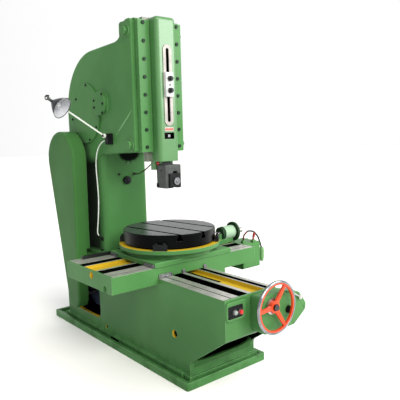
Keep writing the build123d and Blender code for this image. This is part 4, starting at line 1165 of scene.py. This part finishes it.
# Small fittings: oil nipple on the column with the lamp bracket's bolts, neck bolts, clamp block screw
fittings = {
    "nipple": {"place": (-0.060, 0.207, 1.205),
               "profile": [(0, 0), (0.00975, 0, 6), (0.00975, 0.0052, 6), (0.00525, 0.00585),
                           (0.00525, 0.0078), (0.0075, 0.00975), (0.006, 0.01235), (0, 0.013)]},
    "bracketBolts": {"x": -0.240, "y": (0.041, 0.063), "z": (1.440, 1.490), "size": (0.0042, 0.004)},
    "neckBolts": {"places": [(0.018, 0.207, 1.289), (0.058, 0.207, 1.294)], "size": (0.0085, 0.012)},
    "blockScrew": {"places": [(0.0, -0.379, 1.805)], "size": (0.0062, 0.0015)},
}


def fillNipple(bm):
    n, b = fittings["nipple"], fittings["bracketBolts"]
    turned(bm, n["profile"], facing(n["place"], toFront))
    heads(bm, socketScrew, [(b["x"], y, z) for z in b["z"] for y in b["y"]], toLeft, b["size"])


piece("oilNipple", "frame", "dark", fillNipple)
piece("neckBolts", "frame", "green", frontHeads(hexBolt, fittings["neckBolts"]))
piece("clampBlockScrew", "ram", "dark", frontHeads(socketScrew, fittings["blockScrew"]))

# Tool head: a grub screw in its left side and a black stop at the rear lower corner
toolStop = {"low": (-0.0715, -0.302, 1.139), "high": (-0.0638, -0.2875, 1.168), "edge": 0.0025,
            "screwPlace": (-0.064, -0.338, 1.253), "screw": (0.0062, 0.0012)}


def fillToolStop(bm):
    t = toolStop
    heads(bm, socketScrew, [t["screwPlace"]], toLeft, t["screw"])
    slab(bm, t["low"], t["high"], t["edge"])


piece("toolStop", "tool", "dark", fillToolStop)

# A thicker grip round the trip lever's rod
tripGrip = {
    "place": (0.7172, -0.416, 0.699),
    "way": (0.0098, 0, 0.033),
    "profile": [(0, 0), (0.0072, 0), (0.0086, 0.003), (0.0100, 0.026), (0.0094, 0.033), (0.0062, 0.037),
                (0, 0.038)],
}
piece("tripGrip", "trip_lever", "darkRed", turnedFill(tripGrip))

# A cast rib runs up the head's left side to its front edge; its pale green is a painted highlight
headRib = {
    "path": [(0.000, 1.480), (-0.088, 1.545), (-0.170, 1.607), (-0.222, 1.652)],
    "x": -0.200,
    "half": 0.007,
    "rise": 0.0050,
    "endShare": 0.25,
    "steps": 8,
}


def fillHeadRib(bm):
    h = headRib
    path = [Vector((h["x"], y, z)) for y, z in h["path"]]
    last = len(path) - 1
    loops = []
    for step, middle in enumerate(path):
        along = path[min(step + 1, last)] - path[max(step - 1, 0)]
        across = Vector((0, -along.z, along.y)).normalized()
        share = h["endShare"] if step in (0, last) else 1.0
        turns = [math.pi * turn / h["steps"] for turn in range(h["steps"] + 1)]
        outs = [Vector((-h["rise"] * math.sin(turn), 0, 0)) for turn in turns]
        loops.append([middle + (across * (h["half"] * math.cos(turn)) + out) * share
                      for turn, out in zip(turns, outs)])
    crown = h["steps"] // 2
    loft(bm, [[loops[0][crown]], *loops, [loops[-1][crown]]])


piece("headRib", "frame", "rib", fillHeadRib)

# Lamp: rolled rim at the mouth and a hanging hook behind the neck
lampTrim = {
    "rim": 0.0727,
    "depth": 0.1358,
    "roll": 0.0020,
    "rollSteps": 8,
    "hook": [(-0.566, 0.212, 1.763), (-0.580, 0.222, 1.766), (-0.590, 0.226, 1.757), (-0.589, 0.224, 1.744)],
    "hookRadius": 0.0045,
    "hookTaper": 0.12,
    "hookSides": 14,
}


def fillLampRim(bm):
    t = lampTrim
    turns = [2 * math.pi * step / t["rollSteps"] for step in range(t["rollSteps"] + 1)]
    rim, depth, roll = t["rim"], t["depth"], t["roll"]
    profile = [(rim + roll * math.cos(turn), depth + roll * math.sin(turn)) for turn in turns]
    turned(bm, profile, facing(lampMouth["neck"], lampMouth["way"]), 64)
    closeUp(bm)


def fillLampHook(bm):
    t = lampTrim
    path = [Vector(place) for place in t["hook"]]
    ways = [after - before for before, after in zip([path[0], *path], [*path[1:], path[-1]])]
    taper = [t["hookRadius"] * (1.0 - t["hookTaper"] * step) for step in range(len(path))]
    hose(bm, list(zip(path, ways, taper)), t["hookSides"])


piece("lampRim", "lamp_shade", "dark", fillLampRim)
piece("lampHook", "lamp_shade", "black", fillLampHook)

# Cast lip on the front wall of the bed's pedestal, with hollow corners up the side walls
toeLip = {"half": 0.2398, "front": -0.8502, "rear": -0.8225, "foot": 0.104, "top": 0.131, "soft": 0.006,
          "corner": 0.150, "cornerRise": 0.034, "steps": 16}


def fillToeLip(bm):
    t = toeLip
    front, rear, foot, soft = t["front"], t["rear"], t["foot"], t["soft"]
    flat = t["half"] - t["corner"]
    turns = [math.pi / 2 * step / t["steps"] for step in range(t["steps"] + 1)]
    rising = [(flat + t["corner"] * math.sin(turn), t["cornerRise"] * (1 - math.cos(turn))) for turn in turns]
    loops = []
    for x, rise in [(-x, rise) for x, rise in reversed(rising)] + rising:
        high = t["top"] + rise
        section = [(front, foot), (front, high - soft), (front + soft * 0.3, high - soft * 0.3),
                   (front + soft, high), (rear - soft, high), (rear, high - soft), (rear, foot)]
        loops.append([Vector((x, y, z)) for y, z in section])
    middle = Vector((0, (front + rear) / 2, (foot + t["top"]) / 2))
    ends = [[middle + Vector((side * t["half"], 0, 0))] for side in (-1, 1)]
    loft(bm, [ends[0], *loops, ends[1]])


# The lip takes the guard's darker green as painted shade under the bed's nose
piece("toeLip", "frame", "guard", fillToeLip)

# Motor cooling fins, seen through the window
motorFins = {"middle": (0.485, 0.265), "x": (-0.110, 0.112), "count": 18,
             "profile": [(0.1035, -0.0015), (0.112, -0.0009), (0.112, 0.0009), (0.1035, 0.0015),
                         (0.1035, -0.0015)]}


def fillFins(bm):
    m = motorFins
    first, last = m["x"]
    for step in range(m["count"]):
        x = first + (last - first) * step / (m["count"] - 1)
        turned(bm, m["profile"], facing((x, *m["middle"]), toRight), 48)
    closeUp(bm)


piece("motorFins", "frame", "motor", fillFins)
print("pieces built")

# Pale floor, soft studio light
studio = {
    "floorSize": 80.0,
    "floor": (0.86, 0.86, 0.86),
    "floorCloud": 0.8,
    "floorRoughness": (0.75, 0.1),
    "floorBump": (0.02, 0.001),
    "sky": (1.0, 0.70),  # strength all round, and in its dark part behind on the left
    "darkWay": (-0.66, 0.75, 0.0),
    "darkTurn": (0.35, 0.95),
    "lights": [
        {"name": "keyLight", "kind": "SUN", "place": (-0.4, -3.8, 2.7), "aim": (0, 0, 0), "angle": 0.6,
         "power": 3.0, "tint": (1.0, 0.95, 0.85)},
        {"name": "windowLight", "kind": "AREA", "place": (2.3, -3.5, 2.9), "aim": (0, -0.3, 1.9), "size": 2.0,
         "power": 150, "tint": (1.0, 1.0, 1.0)},
    ],
}


def layFloor(s):
    mesh = bpy.data.meshes.new("floor")
    half = s["floorSize"] / 2
    corners = [(-half, -half, 0), (half, -half, 0), (half, half, 0), (-half, half, 0)]
    mesh.from_pydata(corners, [], [(0, 1, 2, 3)])
    floor = addObject("floor", mesh)
    f = Finish("paleFloor")
    cloud = f.grain(s["floorCloud"])
    whole, byCloud = s["floorRoughness"]
    normal = f.bump(cloud, *s["floorBump"])
    mesh.materials.append(f.surface(s["floor"], whole + cloud * byCloud, 0.0, normal))


def setSky(s):
    world = bpy.data.worlds.new("studio")
    world.use_nodes = True
    board = Board(world.node_tree)
    turn = board.node("ShaderNodeTexCoord", {}, {}, "Generated").dot(s["darkWay"])
    strength = board.ramp(turn, *s["darkTurn"], *s["sky"])
    sky = board.node("ShaderNodeBackground", {}, {"Color": (1, 1, 1, 1), "Strength": strength})
    board.node("ShaderNodeOutputWorld", {}, {"Surface": sky})
    scene.world = world


def hangLight(item):
    lamp = bpy.data.lights.new(item["name"], item["kind"])
    lamp.energy = item["power"]
    lamp.color = item["tint"]
    if item["kind"] == "SUN":
        lamp.angle = item["angle"]
    else:
        lamp.size = item["size"]
    thing = addObject(item["name"], lamp)
    aim = Vector(item["aim"]) - Vector(item["place"])
    thing.matrix_world = Matrix.Translation(item["place"]) @ aim.to_track_quat("-Z", "Y").to_matrix().to_4x4()


layFloor(studio)
setSky(studio)
for item in studio["lights"]:
    hangLight(item)
scene.view_settings.view_transform = "Standard"
print("stage lit")
